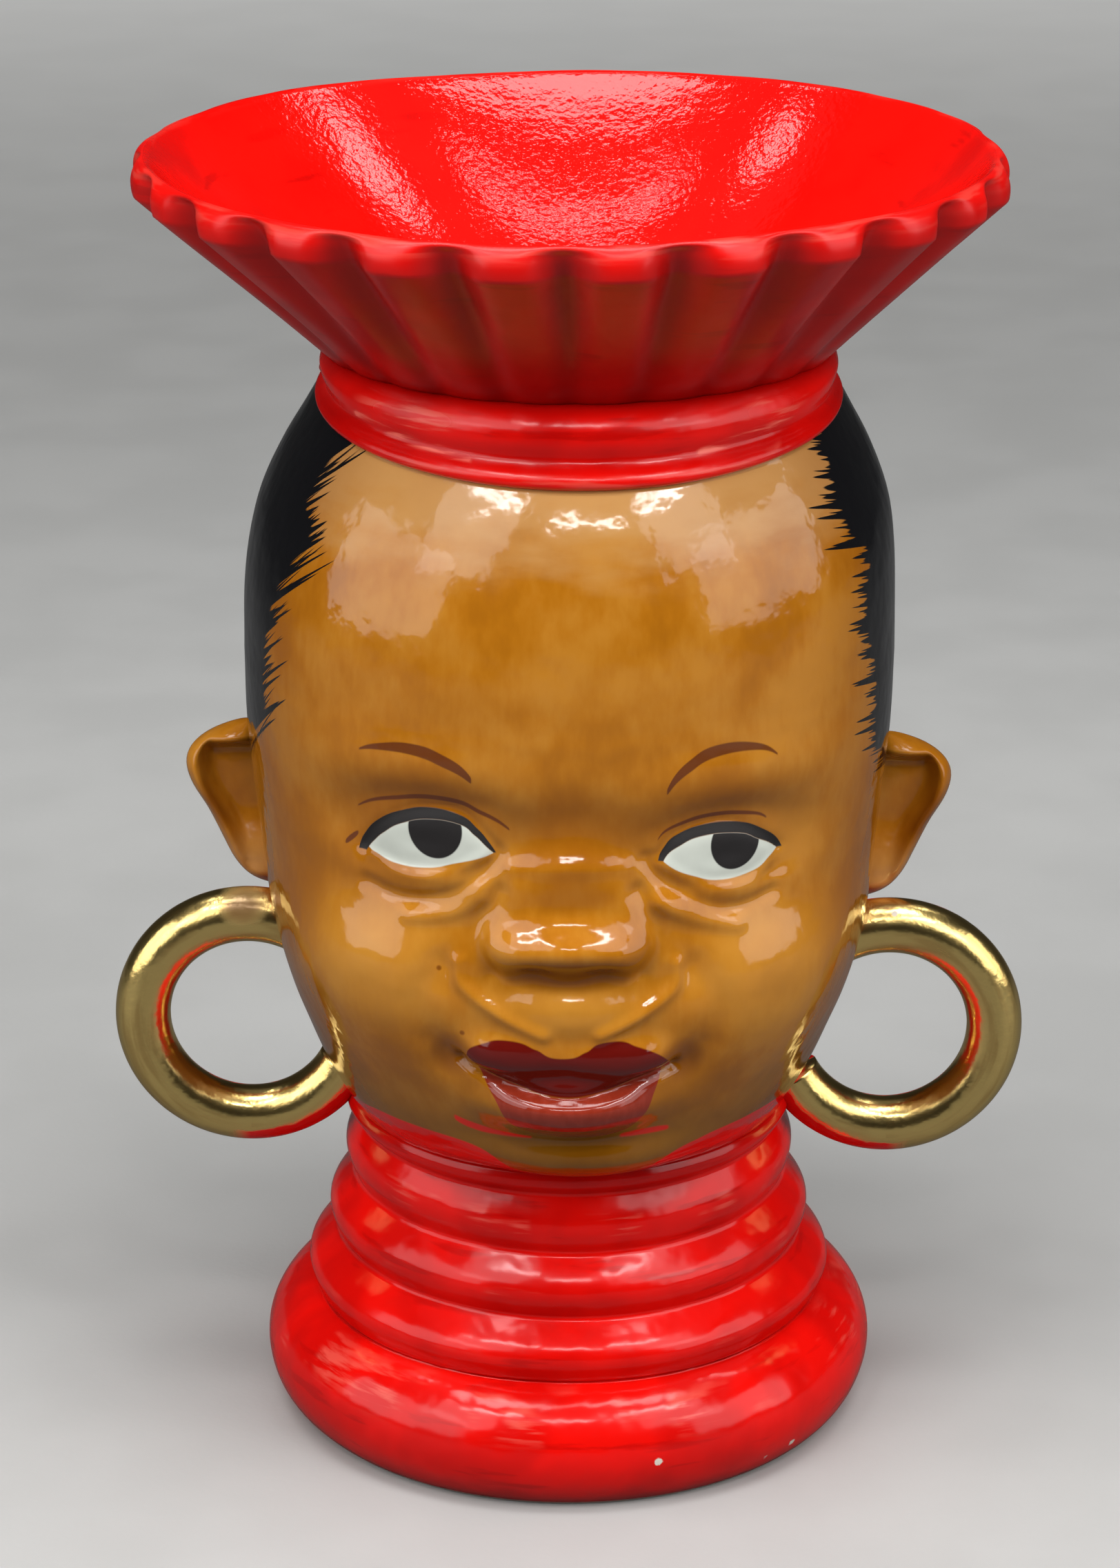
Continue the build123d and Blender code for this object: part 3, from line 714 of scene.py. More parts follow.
def bend_hoop(name, node, side, rise):
    """One hoop beside the head."""
    hoop = bmesh.new()
    bmesh.ops.create_circle(hoop, segments=ROLL_POINTS, radius=HOOP_ROLL, cap_ends=False)
    bmesh.ops.translate(hoop, verts=hoop.verts[:], vec=(HOOP_RADIUS, 0, 0))
    geometry, turn = hoop.verts[:] + hoop.edges[:], math.radians(HOOP_END - HOOP_START)
    bmesh.ops.spin(hoop, geom=geometry, cent=(0, 0, 0), axis=(0, 1, 0), angle=-turn, steps=HOOP_STEPS)
    bmesh.ops.edgeloop_fill(hoop, edges=[edge for edge in hoop.edges if edge.is_boundary])
    for vertex in hoop.verts:
        vertex.co.y *= 1 + hand_wave(vertex.co, *HOOP_WAVE, (side * 40, 0, 0))
    start = Matrix.Rotation(-math.radians(HOOP_START), 3, "Y")
    bmesh.ops.rotate(hoop, verts=hoop.verts[:], cent=(0, 0, 0), matrix=start)
    middle = Vector((head_half_width + HOOP_OUT, -HOOP_AHEAD, neck_seam + rise))
    bmesh.ops.translate(hoop, verts=hoop.verts[:], vec=middle)
    for vertex in hoop.verts:
        seat = side_of_head(vertex.co.y, vertex.co.z) - SEAT_DEPTH
        vertex.co.x = side * max(vertex.co.x, seat)
    return finished(hoop, name, node)


hoop_pieces = [
    bend_hoop("hoop_left", "left_hoop", *HOOPS[0]),
    bend_hoop("hoop_right", "right_hoop", *HOOPS[1]),
]

# %% [markdown]
# ## Studio
#
# A glossy glaze shows its lamps, so the lamps are part of the look. The glaze mirrors a dim pane left and
# right of the camera, with a thin bright strip above each, which give the twin highlights on the collar's
# rings. A third strip between them draws a crisp line on the nose, the lips and the forehead. The bowl's
# back wall looks almost straight up, so it mirrors a bank overhead, and lower down a strip and two small
# panes behind the vase. A wide soft box on each side, whose lower edge stays above the floor, is what the
# cheeks mirror. Two fills that the glaze doesn't mirror even out the light in front.

# %% Place the lamps
STUDIO_MIDDLE = Vector((0, 0, 110)) * MM
# A lamp's row: name, azimuth, height, distance, size, power, and whether the glaze mirrors it.
LAMPS = (
    ("fill_left", -36, 38, 1.0, (0.7, 0.7), 1.9, False),
    ("fill_right", 38, 38, 1.0, (0.7, 0.7), 1.9, False),
    ("pane_left", -42, 40, 1.0, (0.5, 0.56), 2.0, True),
    ("pane_right", 44, 40, 1.0, (0.5, 0.56), 2.0, True),
    ("strip_left", -36, 52, 0.98, (0.3, 0.05), 1.1, True),
    ("strip_right", 39, 52, 0.98, (0.3, 0.05), 1.1, True),
    ("strip_front", 2, 46, 1.0, (0.3, 0.05), 1.1, True),
    ("bank_overhead", 0, 81, 1.1, (0.96, 0.32), 8.6, True),
    ("strip_behind", 180, 80, 1.1, (0.6, 0.05), 0.8, True),
    ("pane_behind_left", -120, 59.5, 1.1, (0.14, 0.08), 0.3, True),
    ("pane_behind_right", 130, 56, 1.1, (0.16, 0.09), 0.36, True),
    ("box_left", -66, 18, 1.0, (0.9, 0.62), 3.6, True),
    ("box_right", 68, 18, 1.0, (0.9, 0.62), 3.6, True),
)


def soft_box(name, azimuth, height, distance, size, power, mirrored):
    """A lamp that faces the vase. Azimuth counts from the camera's side, and both angles are in degrees."""
    lamp = placed(name, bpy.data.lights.new(name, "AREA"))
    lamp.data.shape = "RECTANGLE"
    lamp.data.size, lamp.data.size_y = size
    lamp.data.energy = power
    lamp.visible_glossy = mirrored
    turn, lift = math.radians(azimuth), math.radians(height)
    way = Vector((math.sin(turn) * math.cos(lift), -math.cos(turn) * math.cos(lift), math.sin(lift)))
    lamp.location = STUDIO_MIDDLE + way * distance
    lamp.rotation_euler = way.to_track_quat("Z", "Y").to_euler()
    return lamp


lamps = [soft_box(*row) for row in LAMPS]
print("lamps", len(lamps), "power", sum(lamp.data.energy for lamp in lamps), "W")

# %% [markdown]
# A photographer's cove has no horizon: the floor runs flat and then bends up into the backdrop. Here it
# bends up all round, so the vase can be looked at from any side.

# %% Lay the floor and light the world
FLAT_RADIUS = 1500.0
COVE_RADIUS = 1100.0
COVE_TOP = 3000.0
COVE_STEPS = 96
WORLD_COLOUR = (0.9, 0.9, 0.9, 1)
WORLD_STRENGTH = 0.13

cove = [(radius, 0) for radius in (0, 300, 600, 1000)]
cove += arc((FLAT_RADIUS, COVE_RADIUS), COVE_RADIUS, -90, 0, 16)
cove += [(FLAT_RADIUS + COVE_RADIUS, COVE_TOP)]
floor = as_object(turned(cove, COVE_STEPS, closed=False, merge_within=0.01), "floor")

world = bpy.data.worlds.new("studio")
world.use_nodes = True
world.node_tree.nodes["Background"].inputs["Color"].default_value = WORLD_COLOUR
world.node_tree.nodes["Background"].inputs["Strength"].default_value = WORLD_STRENGTH
bpy.context.scene.world = world
bpy.context.scene.view_settings.view_transform = "Standard"

# %% [markdown]
# ## Glazes
#
# Shader maths is easier to read as sums than as a drawing of nodes. A Signal stands for one output of a
# node, and adding or multiplying signals adds the Math nodes. A Finish is one material: its add method makes
# any other node from its type, its settings and what its sockets take. Colours don't go through Math nodes,
# which would turn them grey, so each paint is laid over the colour so far with a Mix node.

# %% Signals
def maths(operation, reflected=False):
    """A method that adds a Math node. In a reflected one the signal comes second."""
    def method(self, other):
        return self.finish.math(operation, *((other, self) if reflected else (self, other)))
    return method


class Signal:
    """One output socket in a finish. Sums of signals add Math nodes."""

    def __init__(self, finish, socket):
        self.finish = finish
        self.socket = socket

    __add__, __radd__ = maths("ADD"), maths("ADD", True)
    __sub__, __rsub__ = maths("SUBTRACT"), maths("SUBTRACT", True)
    __mul__, __rmul__ = maths("MULTIPLY"), maths("MULTIPLY", True)
    __truediv__, __pow__ = maths("DIVIDE"), maths("POWER")
    # The larger of two signals lays one mask over another.
    over = maths("MAXIMUM")

    def __abs__(self):
        return self.finish.math("ABSOLUTE", self)


# %% Finishes
class Finish:
    """A material, with the places on its piece in millimetres, the turn from straight ahead and the reach."""

    def __init__(self, name, colour):
        self.colour = colour
        self.material = bpy.data.materials.new(name)
        self.material.use_nodes = True
        self.tree = self.material.node_tree
        self.shader = self.tree.nodes["Principled BSDF"]
        metres = self.add("ShaderNodeTexCoord", {}, {}, "Object")
        self.place = self.add("ShaderNodeVectorMath", {"operation": "SCALE"}, {0: metres, "Scale": 1 / MM})
        axes = [self.add("ShaderNodeSeparateXYZ", {}, {0: self.place}, axis) for axis in "XYZ"]
        self.x, self.y, self.z = axes
        self.turn = self.math("ARCTAN2", self.x, self.y * -1) * math.degrees(1)
        self.reach = (self.x * self.x + self.y * self.y) ** 0.5

    def add(self, kind, settings, inputs, output=0):
        """Adds a node: its settings first, then the values or links of its sockets."""
        node = self.tree.nodes.new(kind)
        for name, value in settings.items():
            if name == "curve":
                curve = node.mapping.curves[0]
                curve.points[0].location = value[0]
                curve.points[1].location = value[-1]
                for point in value[1:-1]:
                    curve.points.new(*point)
                node.mapping.extend = "HORIZONTAL"
                node.mapping.update()
            else:
                setattr(node, name, value)
        for key, value in inputs.items():
            self.feed(node.inputs[key], value)
        return Signal(self, node.outputs[output])

    def feed(self, socket, value):
        """Gives a socket a link, a number or a colour."""
        if isinstance(value, Signal):
            self.tree.links.new(value.socket, socket)
        elif socket.type == "RGBA":
            socket.default_value = (*value, 1)
        else:
            socket.default_value = value

    def math(self, operation, *values):
        """A Math node on some values."""
        return self.add("ShaderNodeMath", {"operation": operation}, dict(enumerate(values)))

    def vectors(self, operation, first, second, output=0):
        """A Vector Math node on two vectors."""
        return self.add("ShaderNodeVectorMath", {"operation": operation}, {0: first, 1: second}, output)

    def rising(self, value, low, high):
        """0 where a value is at low, 1 where it is at high, and a soft step between the two."""
        inputs = {"Value": value, "From Min": low, "From Max": high}
        return self.add("ShaderNodeMapRange", {"interpolation_type": "SMOOTHSTEP"}, inputs)

    def above(self, value, soft):
        """1 where a value is above 0, with a soft edge."""
        return self.rising(value, -soft, soft)

    def mixed(self, share, ground, paint):
        """A paint laid over a ground, as far as the share says."""
        return self.add("ShaderNodeMix", {"data_type": "RGBA"}, {0: share, 6: ground, 7: paint}, 2)

    def lay(self, mask, paint):
        """Lays a paint over the colour so far."""
        self.colour = self.mixed(mask, self.colour, paint)

    def stretched(self, across, up):
        """The places with both ways across the vase and the way up scaled, for brush marks that run round."""
        return self.vectors("MULTIPLY", self.place, (across, across, up))

    def cloud(self, size, detail=2.0, place=None):
        """Soft noise about 0.5, with blobs of about a size in millimetres."""
        inputs = {"Vector": place or self.place, "Scale": 1 / size, "Detail": detail}
        return self.add("ShaderNodeTexNoise", {}, inputs)

    def ripples(self, height, depth):
        """A bump of a depth in millimetres from a height signal."""
        inputs = {"Height": height, "Distance": depth * MM, "Strength": 1.0}
        return self.add("ShaderNodeBump", {}, inputs)

    def coat(self, piece, roughness, normal, **uniform):
        """Joins the signals to the shader, sets what is the same all over, and gives the piece the finish."""
        uniform.update({"Base Color": self.colour, "Roughness": roughness, "Normal": normal})
        for name, value in uniform.items():
            self.feed(self.shader.inputs[name.replace("_", " ")], value)
        piece.data.materials.append(self.material)
        print(self.material.name, len(self.tree.nodes), "nodes on", piece.name)


# %% [markdown]
# ### Brush strokes
#
# The painter drew the face with a fine brush, so most features are strokes: a line that swells and tapers.
# A Float Curve node holds the line as a level for each place across the face, and a second one holds the
# stroke's half width. A shape such as the white of an eye is what lies between two lines. Painting an image
# would work too, but curves stay sharp at any size and can be moved by hand.

# %% Strokes and patches
def line(finish, along, points):
    """The value of a smooth line through some (place, value) points, at each place along it."""
    places, values = zip(*points)
    start, low = places[0], min(values)
    length, rise = places[-1] - start, (max(values) - low) or 1
    shares = [((place - start) / length, (value - low) / rise) for place, value in points]
    share = finish.add("ShaderNodeFloatCurve", {"curve": shares}, {"Value": (along - start) / length})
    return share * rise + low


def within(finish, along, start, end, soft):
    """1 between two places and 0 outside them."""
    return finish.rising(along, start - soft, start + soft) * finish.rising(along, end + soft, end - soft)


def stroke(finish, rows, soft=0.14):
    """A brush stroke on the front of the head. A row is the place across, the level and the half width."""
    middle = line(finish, finish.x, [(x, level) for x, level, half in rows])
    half = line(finish, finish.x, [(x, half) for x, level, half in rows])
    inside = finish.above(half - abs(finish.z - middle), soft)
    return inside * within(finish, finish.x, rows[0][0], rows[-1][0], soft)


def shape(finish, bottom, top, soft=0.12):
    """The shape between two lines, each given as points of (place across, level)."""
    over = finish.above(finish.z - line(finish, finish.x, bottom), soft)
    under = finish.above(line(finish, finish.x, top) - finish.z, soft)
    return over * under * within(finish, finish.x, top[0][0], top[-1][0], soft)


def far_from(finish, across, level, wide, high):
    """The square of how far a place lies from a middle, as a share of a half width and height."""
    far_across = (finish.x - across) / wide
    far_up = (finish.z - level) / high
    return far_across * far_across + far_up * far_up


def patch(finish, across, level, wide, high, strength):
    """A soft round patch on the front of the head."""
    return finish.rising(far_from(finish, across, level, wide, high), 1.0, 0.05) * strength


def facing_out(finish):
    """1 on the outside of a casting and 0 on its inner wall."""
    normal = finish.add("ShaderNodeTexCoord", {}, {}, "Normal")
    level_place = finish.vectors("MULTIPLY", finish.place, (1, 1, 0))
    return finish.rising(finish.vectors("DOT_PRODUCT", normal, level_place, "Value"), -8, -2)


# %% [markdown]
# ### Red glaze
#
# The hat, the collar and the foot are a bright scarlet glaze over white clay. A brush left streaks that run
# round the vase. Painted shade darkens the hollows and the places that lie under other parts. The crests
# are painted a paler pink as highlight and wear, and here and there a chip shows the clay. Inside the bowl
# it dried with the fine, pebbled skin that potters call orange peel, which breaks up the highlight. The same
# function makes the glaze for each piece, with other shares of these marks.

# %% Red glaze
SCARLET = (0.78, 0.004, 0.002)
DEEP_RED = (0.30, 0.001, 0.001)
PINK_WEAR_AND_HIGHLIGHT = (0.80, 0.14, 0.10)
BARE_CLAY = (0.78, 0.70, 0.60)
INSIDE_CREAM = (0.60, 0.55, 0.46)
GLAZE_SHINE = 0.35
BRIM_SHINE = 0.36


def brush_red(finish, wear_and_highlight, painted_shade):
    """Brushes the scarlet glaze on, with painted highlight and wear, and painted shade, where the masks say."""
    streaks = finish.cloud(2.2, 4.0, finish.stretched(0.12, 1.0))
    brush = finish.cloud(1.6, 5.0, finish.stretched(0.14, 1.6))
    finish.lay(finish.rising(finish.cloud(14.0), 0.62, 0.36) * 0.35, DEEP_RED)
    finish.lay(finish.rising(streaks, 0.40, 0.30) * 0.4, DEEP_RED)
    # Painted shade: the deep red, where the shade mask says.
    finish.lay(painted_shade, DEEP_RED)
    # Pale pink of painted highlight and wear, where its mask says.
    finish.lay(wear_and_highlight * finish.rising(brush, 0.46, 0.62), PINK_WEAR_AND_HIGHLIGHT)


def line_with_cream(finish):
    """Keeps the colour so far on the outside of a casting, and leaves its inner wall cream."""
    finish.colour = finish.mixed(facing_out(finish), INSIDE_CREAM, finish.colour)


def crest_mask(finish, level, radius, high, deep):
    """Where a ring's crest stands out: near its level and as far out as its radius."""
    near = finish.rising(abs(finish.z - level), high, high * 0.3)
    return near * finish.rising(finish.reach, radius - deep, radius)


def chips(finish, places, size):
    """Small ragged chips about some places."""
    ragged = finish.cloud(0.8, 3.0) * size
    mask = 0.0
    for place in places:
        far = finish.vectors("DISTANCE", finish.place, place, "Value")
        mask = finish.rising(far + ragged, size * 1.3, size).over(mask)
    return mask


def fire_red(finish, piece, rough, grain, depth):
    """Fires the glaze on a piece, with a soft variation in its roughness and low ripples in its skin."""
    skin = finish.ripples(finish.cloud(grain), depth)
    finish.coat(piece, rough + finish.cloud(6.0) * 0.12, skin, Specular_IOR_Level=GLAZE_SHINE)


# %% Glaze the foot and the collar
FOOT_CREST = (15.6, 46.0, 5.0, 7.0)
FOOT_CHIPS = ((13.6, -46.2, 8.4), (34.6, -32.6, 4.2), (30.6, -36.6, 3.4), (24.4, -41.2, 2.6))
# A ring's crest: its height above the crease below it, and how far up, down and in the painted highlight and
# wear reach.
CREST_RISE, CREST_HIGH, CREST_DEEP = 5.2, 3.0, 2.4

glaze = Finish("red_glaze_foot", SCARLET)
# The top of the foot's roll is painted pale pink as highlight and wear, and its lowest few millimetres are
# darkened with painted shade towards the ground.
wear_and_highlight = crest_mask(glaze, *FOOT_CREST) * 0.5 * glaze.rising(glaze.cloud(11.0), 0.46, 0.60)
brush_red(glaze, wear_and_highlight, glaze.rising(glaze.z, 3.0, 0.0) * 0.5)
glaze.lay(chips(glaze, FOOT_CHIPS, 0.9), BARE_CLAY)
underneath = glaze.rising(glaze.z, 0.9, 0.1)
glaze.lay(underneath, BARE_CLAY)
line_with_cream(glaze)
fire_red(glaze, foot_piece, 0.10 + underneath * 0.5, 7.0, 0.35)

glaze = Finish("red_glaze_collar", SCARLET)
# The upper side of each of the three lower rolls is painted pale pink as highlight and wear, and the top of the
# collar, under the chin, is darkened with painted shade.
wear_and_highlight = 0.0
for bottom, crease, bulge in COLLAR_RINGS[:3]:
    wear_and_highlight = crest_mask(glaze, bottom + CREST_RISE, crease + bulge, CREST_HIGH, CREST_DEEP).over(wear_and_highlight)
wear_and_highlight = wear_and_highlight * glaze.rising(glaze.cloud(9.0), 0.50, 0.66) * 0.45
brush_red(glaze, wear_and_highlight, glaze.rising(glaze.z, neck_seam - 5.0, neck_seam) * 0.35)
line_with_cream(glaze)
fire_red(glaze, collar_piece, 0.10, 7.0, 0.3)

# %% [markdown]
# The hat's band is painted pale pink, as highlight and wear, in two patches beside its middle, along the
# upper edge of its lip and along its lower edge. Painted shade darkens its hollow, and a painted shadow darkens
# its top under the brim. The brim keeps its brightest red inside. Outside, the flare carries painted shade,
# darkest towards the band and in the grooves, and the ends of the ribs are painted pink as highlight and wear.

# %% Glaze the band
# The pale pink patches and strokes of painted highlight and wear, in the rows that patch and stroke take.
BAND_RUBS_AND_HIGHLIGHTS = ((-23.0, 168.6, 9.0, 2.4, 0.7), (29.0, 169.0, 6.0, 2.2, 0.6))
LIP_RUBS_AND_HIGHLIGHTS = (
    ((-31.0, 166.8, 0.3), (-24.0, 165.4, 0.6), (-14.0, 164.0, 0.4)),
    ((18.0, 164.6, 0.3), (26.0, 166.0, 0.6), (33.0, 167.6, 0.3)),
)
LOWER_RUB_AND_HIGHLIGHT = ((-30.0, 163.8, 0.3), (0.0, 161.6, 0.8), (30.0, 163.8, 0.3))
BAND_HOLLOW = brim_seam - 7.0

glaze = Finish("red_glaze_band", SCARLET)
# The band's pale pink is painted highlight and wear, on its bulge, along its lip and along its lower edge.
wear_and_highlight = stroke(glaze, LOWER_RUB_AND_HIGHLIGHT, 0.5) * 0.3
for row in BAND_RUBS_AND_HIGHLIGHTS:
    wear_and_highlight = patch(glaze, *row).over(wear_and_highlight)
for row in LIP_RUBS_AND_HIGHLIGHTS:
    wear_and_highlight = stroke(glaze, row, 0.4).over(wear_and_highlight)
wear_and_highlight = wear_and_highlight * glaze.rising(glaze.y, -8.0, -14.0)
# Painted shade in the band's hollow, and a painted shadow along its top under the brim.
painted_shade = glaze.rising(abs(glaze.z - BAND_HOLLOW), 2.8, 0.6) * 0.5
painted_shade = painted_shade.over(glaze.rising(glaze.z, brim_seam - 2.0, brim_seam) * 0.6)
brush_red(glaze, wear_and_highlight, painted_shade)
fire_red(glaze, band_piece, 0.12 + wear_and_highlight * 0.2, 6.0, 0.25)

# %% Glaze the brim
RIB_ENDS = (rim_level - 3.4, rim_level - 1.0)

glaze = Finish("red_glaze_brim", SCARLET)
outside = facing_out(glaze)
risen = glaze.rising(glaze.z, brim_seam, rim_level)
rib_ends = glaze.rising(glaze.z, *RIB_ENDS)
# The rib ends are painted pink as highlight and wear.
wear_and_highlight = rib_ends * glaze.rising(glaze.reach, RIM_INSIDE + 0.6, RIM_OUTSIDE - 0.6) * 0.25
grooves = (glaze.math("COSINE", (glaze.turn * math.radians(1) - FIRST_GROOVE) * FLUTES) + 1) * 0.5
# Painted shade on the outside of the flare, darkest towards the band and in the grooves.
painted_shade = outside * (0.5 - 0.3 * risen + grooves**GROOVE_NARROWNESS * 0.4) * (1 - rib_ends)
brush_red(glaze, wear_and_highlight, painted_shade)
rough = 0.03 + glaze.cloud(8.0) * 0.06 + outside * 0.25
orange_peel = glaze.cloud(1.0) * (1 - outside) * 0.22
brim_skin = glaze.ripples(orange_peel + glaze.cloud(8.0) * 0.5, 0.3)
glaze.coat(brim_piece, rough, brim_skin, Specular_IOR_Level=BRIM_SHINE)

# %% [markdown]
# ### The painted head
#
# The skin is a caramel glaze that was brushed on unevenly, pale under the hat and olive under the jaw.
# Painted shade darkens the hollows round the eyes, the underside of the nose, the corners of the mouth, the
# hollow under the lip and the sides of the face, and painted highlights brighten the cheeks and the ledge
# above the lip. Over it the painter laid the features. The places below were read off from the front, as
# places across and levels in millimetres.

# %% Skin
SKIN = (0.42, 0.145, 0.006)
SKIN_LIGHT = (0.58, 0.26, 0.036)
SKIN_TAN = (0.54, 0.29, 0.10)
SKIN_SHADE = (0.20, 0.052, 0.002)
SKIN_OLIVE = (0.14, 0.052, 0.001)
# A patch's row: across, level, half width, half height and strength.
# Painted shade round the eyes, at the nose's root and slope, under the nose, at the mouth's corners and under the
# lip, and two small real dark specks on the cheek.
SHADE_PATCHES_AND_SPECKS = (
    (-20.5, 114.0, 17.0, 9.0, 0.4),
    (22.0, 112.6, 17.0, 9.0, 0.4),
    (0.6, 112.4, 14.0, 8.0, 0.4),
    (0.0, 103.4, 8.0, 4.0, 0.4),
    (-0.2, 91.2, 12.0, 3.8, 0.9),
    (-17.0, 76.8, 4.0, 4.6, 0.7),
    (16.4, 76.0, 4.0, 4.6, 0.7),
    (0.0, 62.0, 16.0, 4.0, 0.5),
    (-18.9, 90.6, 0.5, 0.5, 0.9),
    (-15.6, 81.0, 0.5, 0.5, 0.9),
)
# Painted highlights on the upper cheeks and on the ledge above the upper lip.
PAINTED_HIGHLIGHT_PATCHES = ((-28.0, 90.0, 14.0, 13.0, 0.5), (29.0, 89.0, 14.0, 13.0, 0.5), (0.0, 85.6, 13.0, 5.0, 0.5))


def brush_skin(finish):
    """Brushes the caramel glaze on, lighter and darker in places."""
    tone = finish.cloud(16.0) * 0.8 + finish.cloud(1.8, 3.0, finish.stretched(1.2, 0.5)) * 0.2
    finish.lay(finish.rising(tone, 0.44, 0.64) * 0.45, SKIN_LIGHT)
    finish.lay(finish.rising(tone, 0.50, 0.36) * 0.25, SKIN_SHADE)


paint = Finish("painted_head", SKIN)
brush_skin(paint)
for patches, tone in ((PAINTED_HIGHLIGHT_PATCHES, SKIN_LIGHT), (SHADE_PATCHES_AND_SPECKS, SKIN_SHADE)):
    for row in patches:
        paint.lay(patch(paint, *row), tone)
aside = abs(paint.turn)
tan_edge = paint.z + paint.cloud(6.0, 4.0, paint.stretched(0.5, 1.5)) * 16.0
jaw_edge = paint.z + paint.cloud(9.0) * 10.0
paint.lay(paint.rising(tan_edge, 154.0, 166.0) * 0.8, SKIN_TAN)
# Painted shade on the sides of the face, which turn away from the lamps.
paint.lay(paint.rising(aside, 36.0, 62.0) * 0.4, SKIN_SHADE)
paint.lay(paint.rising(jaw_edge, 82.0, 66.0) * 0.7, SKIN_OLIVE)

# %% [markdown]
# Each eye is a white shape with a thick black lid line, a black pupil cut off by the lid, and a thin crease
# above. The strokes follow the modelled lids, so paint and form agree.

# %% Eyes
EYE_WHITE = (0.60, 0.63, 0.56)
EYE_BLACK = (0.008, 0.006, 0.006)
BROWN_LINE = (0.11, 0.025, 0.008)
# An eye's row: the white's lower line, the white's upper line, the lid's upper line, and the pupil's place
# across, level, half width and half height.
EYES = (
    (
        ((-29.4, 106.7), (-28.1, 106.2), (-24.2, 105.2), (-20.6, 105.4), (-16.6, 106.5), (-10.9, 108.3)),
        (
            (-29.4, 106.0), (-28.4, 107.6), (-26.8, 109.6), (-24.0, 111.7), (-20.1, 112.9),
            (-16.0, 112.6), (-13.6, 111.0), (-12.0, 109.4), (-10.9, 108.3),
        ),
        (
            (-30.6, 105.9), (-29.6, 108.6), (-27.6, 111.2), (-24.2, 113.3), (-20.1, 114.4),
            (-15.8, 113.8), (-13.2, 111.9), (-11.6, 110.0), (-10.5, 108.2),
        ),
        (-19.3, 111.4, 3.9, 4.4),
    ),
    (
        ((13.4, 107.0), (17.9, 104.4), (22.0, 103.3), (26.1, 103.6), (29.0, 105.3), (30.0, 106.0)),
        ((13.4, 107.0), (15.6, 109.1), (19.4, 110.4), (23.4, 110.2), (27.2, 108.4), (30.0, 106.0)),
        (
            (12.6, 106.8), (13.4, 108.8), (15.4, 110.7), (19.3, 111.8), (23.4, 111.6),
            (27.9, 109.6), (30.8, 106.0),
        ),
        (23.8, 108.7, 3.55, 4.1),
    ),
)
LID_CREASES = (
    ((-30.6, 112.6, 0.1), (-25.0, 115.2, 0.35), (-18.6, 116.2, 0.4), (-12.6, 114.4, 0.35), (-8.6, 112.0, 0.1)),
    ((12.6, 110.2, 0.1), (16.0, 112.4, 0.3), (20.6, 113.2, 0.35), (25.4, 112.6, 0.3), (28.4, 111.2, 0.1)),
    ((-32.6, 106.4, 0.1), (-31.6, 107.4, 0.5), (-30.6, 108.4, 0.2)),
)
BROWS = (
    ((-30.2, 122.2, 0.15), (-27.2, 123.2, 0.5), (-22.8, 123.6, 0.8), (-18.0, 122.4, 0.9), (-14.0, 119.8, 0.3)),
    ((13.8, 118.0, 0.3), (17.2, 121.8, 0.9), (21.0, 123.5, 0.85), (25.8, 123.4, 0.6), (29.8, 121.4, 0.15)),
)

for row in LID_CREASES + BROWS:
    paint.lay(stroke(paint, row) * 0.9, BROWN_LINE)
inked = 0.0
in_front = paint.rising(paint.y, -16.0, -24.0)
for white_bottom, white_top, lid_top, pupil_place in EYES:
    lid = shape(paint, white_top, lid_top)
    white = shape(paint, white_bottom, white_top)
    pupil = paint.rising(far_from(paint, *pupil_place), 1.06, 0.94)
    black = lid.over(white * pupil) * in_front
    paint.lay(white * in_front, EYE_WHITE)
    paint.lay(black, EYE_BLACK)
    inked = black + inked

# %% [markdown]
# The upper lip is maroon, darkened further with painted shade where it faces down, and the lower lip is a
# brick red with faint pale streaks, brush marks and painted sheen. Below the lower lip two short red strokes
# mark the chin, and a wavy edge under the jaw is where the collar's red glaze begins, already on the head's
# casting.

# %% Lips and jaw
UPPER_LIP_SHADED_RED = (0.12, 0.005, 0.003)
LOWER_LIP_RED = (0.25, 0.024, 0.010)
LIP_TOP = (
    (-15.0, 77.4), (-12.4, 80.0), (-8.9, 80.8), (-4.9, 79.8), (-1.1, 78.4),
    (2.4, 79.4), (5.6, 80.8), (9.6, 79.8), (14.6, 76.0),
)
LIP_LINE = ((-15.0, 76.6), (-13.4, 75.2), (-8.0, 72.8), (-0.8, 71.6), (5.3, 72.2), (9.4, 73.4), (14.6, 75.2))
LIP_BOTTOM = (
    (-13.6, 75.6), (-12.6, 73.6), (-11.0, 70.8), (-7.0, 65.6), (-0.8, 64.1),
    (6.4, 64.3), (10.5, 67.4), (12.4, 71.4), (13.4, 74.6),
)
LIP_EDGE = 0.16
CHIN_STROKES = (
    ((-17.0, 64.9, 0.3), (-14.4, 63.9, 0.7), (-10.4, 63.3, 0.5), (-5.6, 63.2, 0.25)),
    ((7.4, 63.4, 0.3), (11.0, 63.6, 0.6), (14.6, 63.5, 0.3)),
)
# The level of the red glaze's edge at each turn from straight ahead, in degrees.
JAW_EDGE = (
    (-180.0, 57.0), (-90.0, 57.5), (-53.0, 58.6), (-38.0, 60.2), (-25.0, 60.4), (-13.0, 57.6), (0.0, 54.6),
    (8.0, 54.6), (16.0, 56.8), (25.0, 59.4), (40.0, 60.2), (60.0, 58.5), (90.0, 57.5), (180.0, 57.0),
)

in_front = paint.rising(paint.y, -20.0, -30.0)
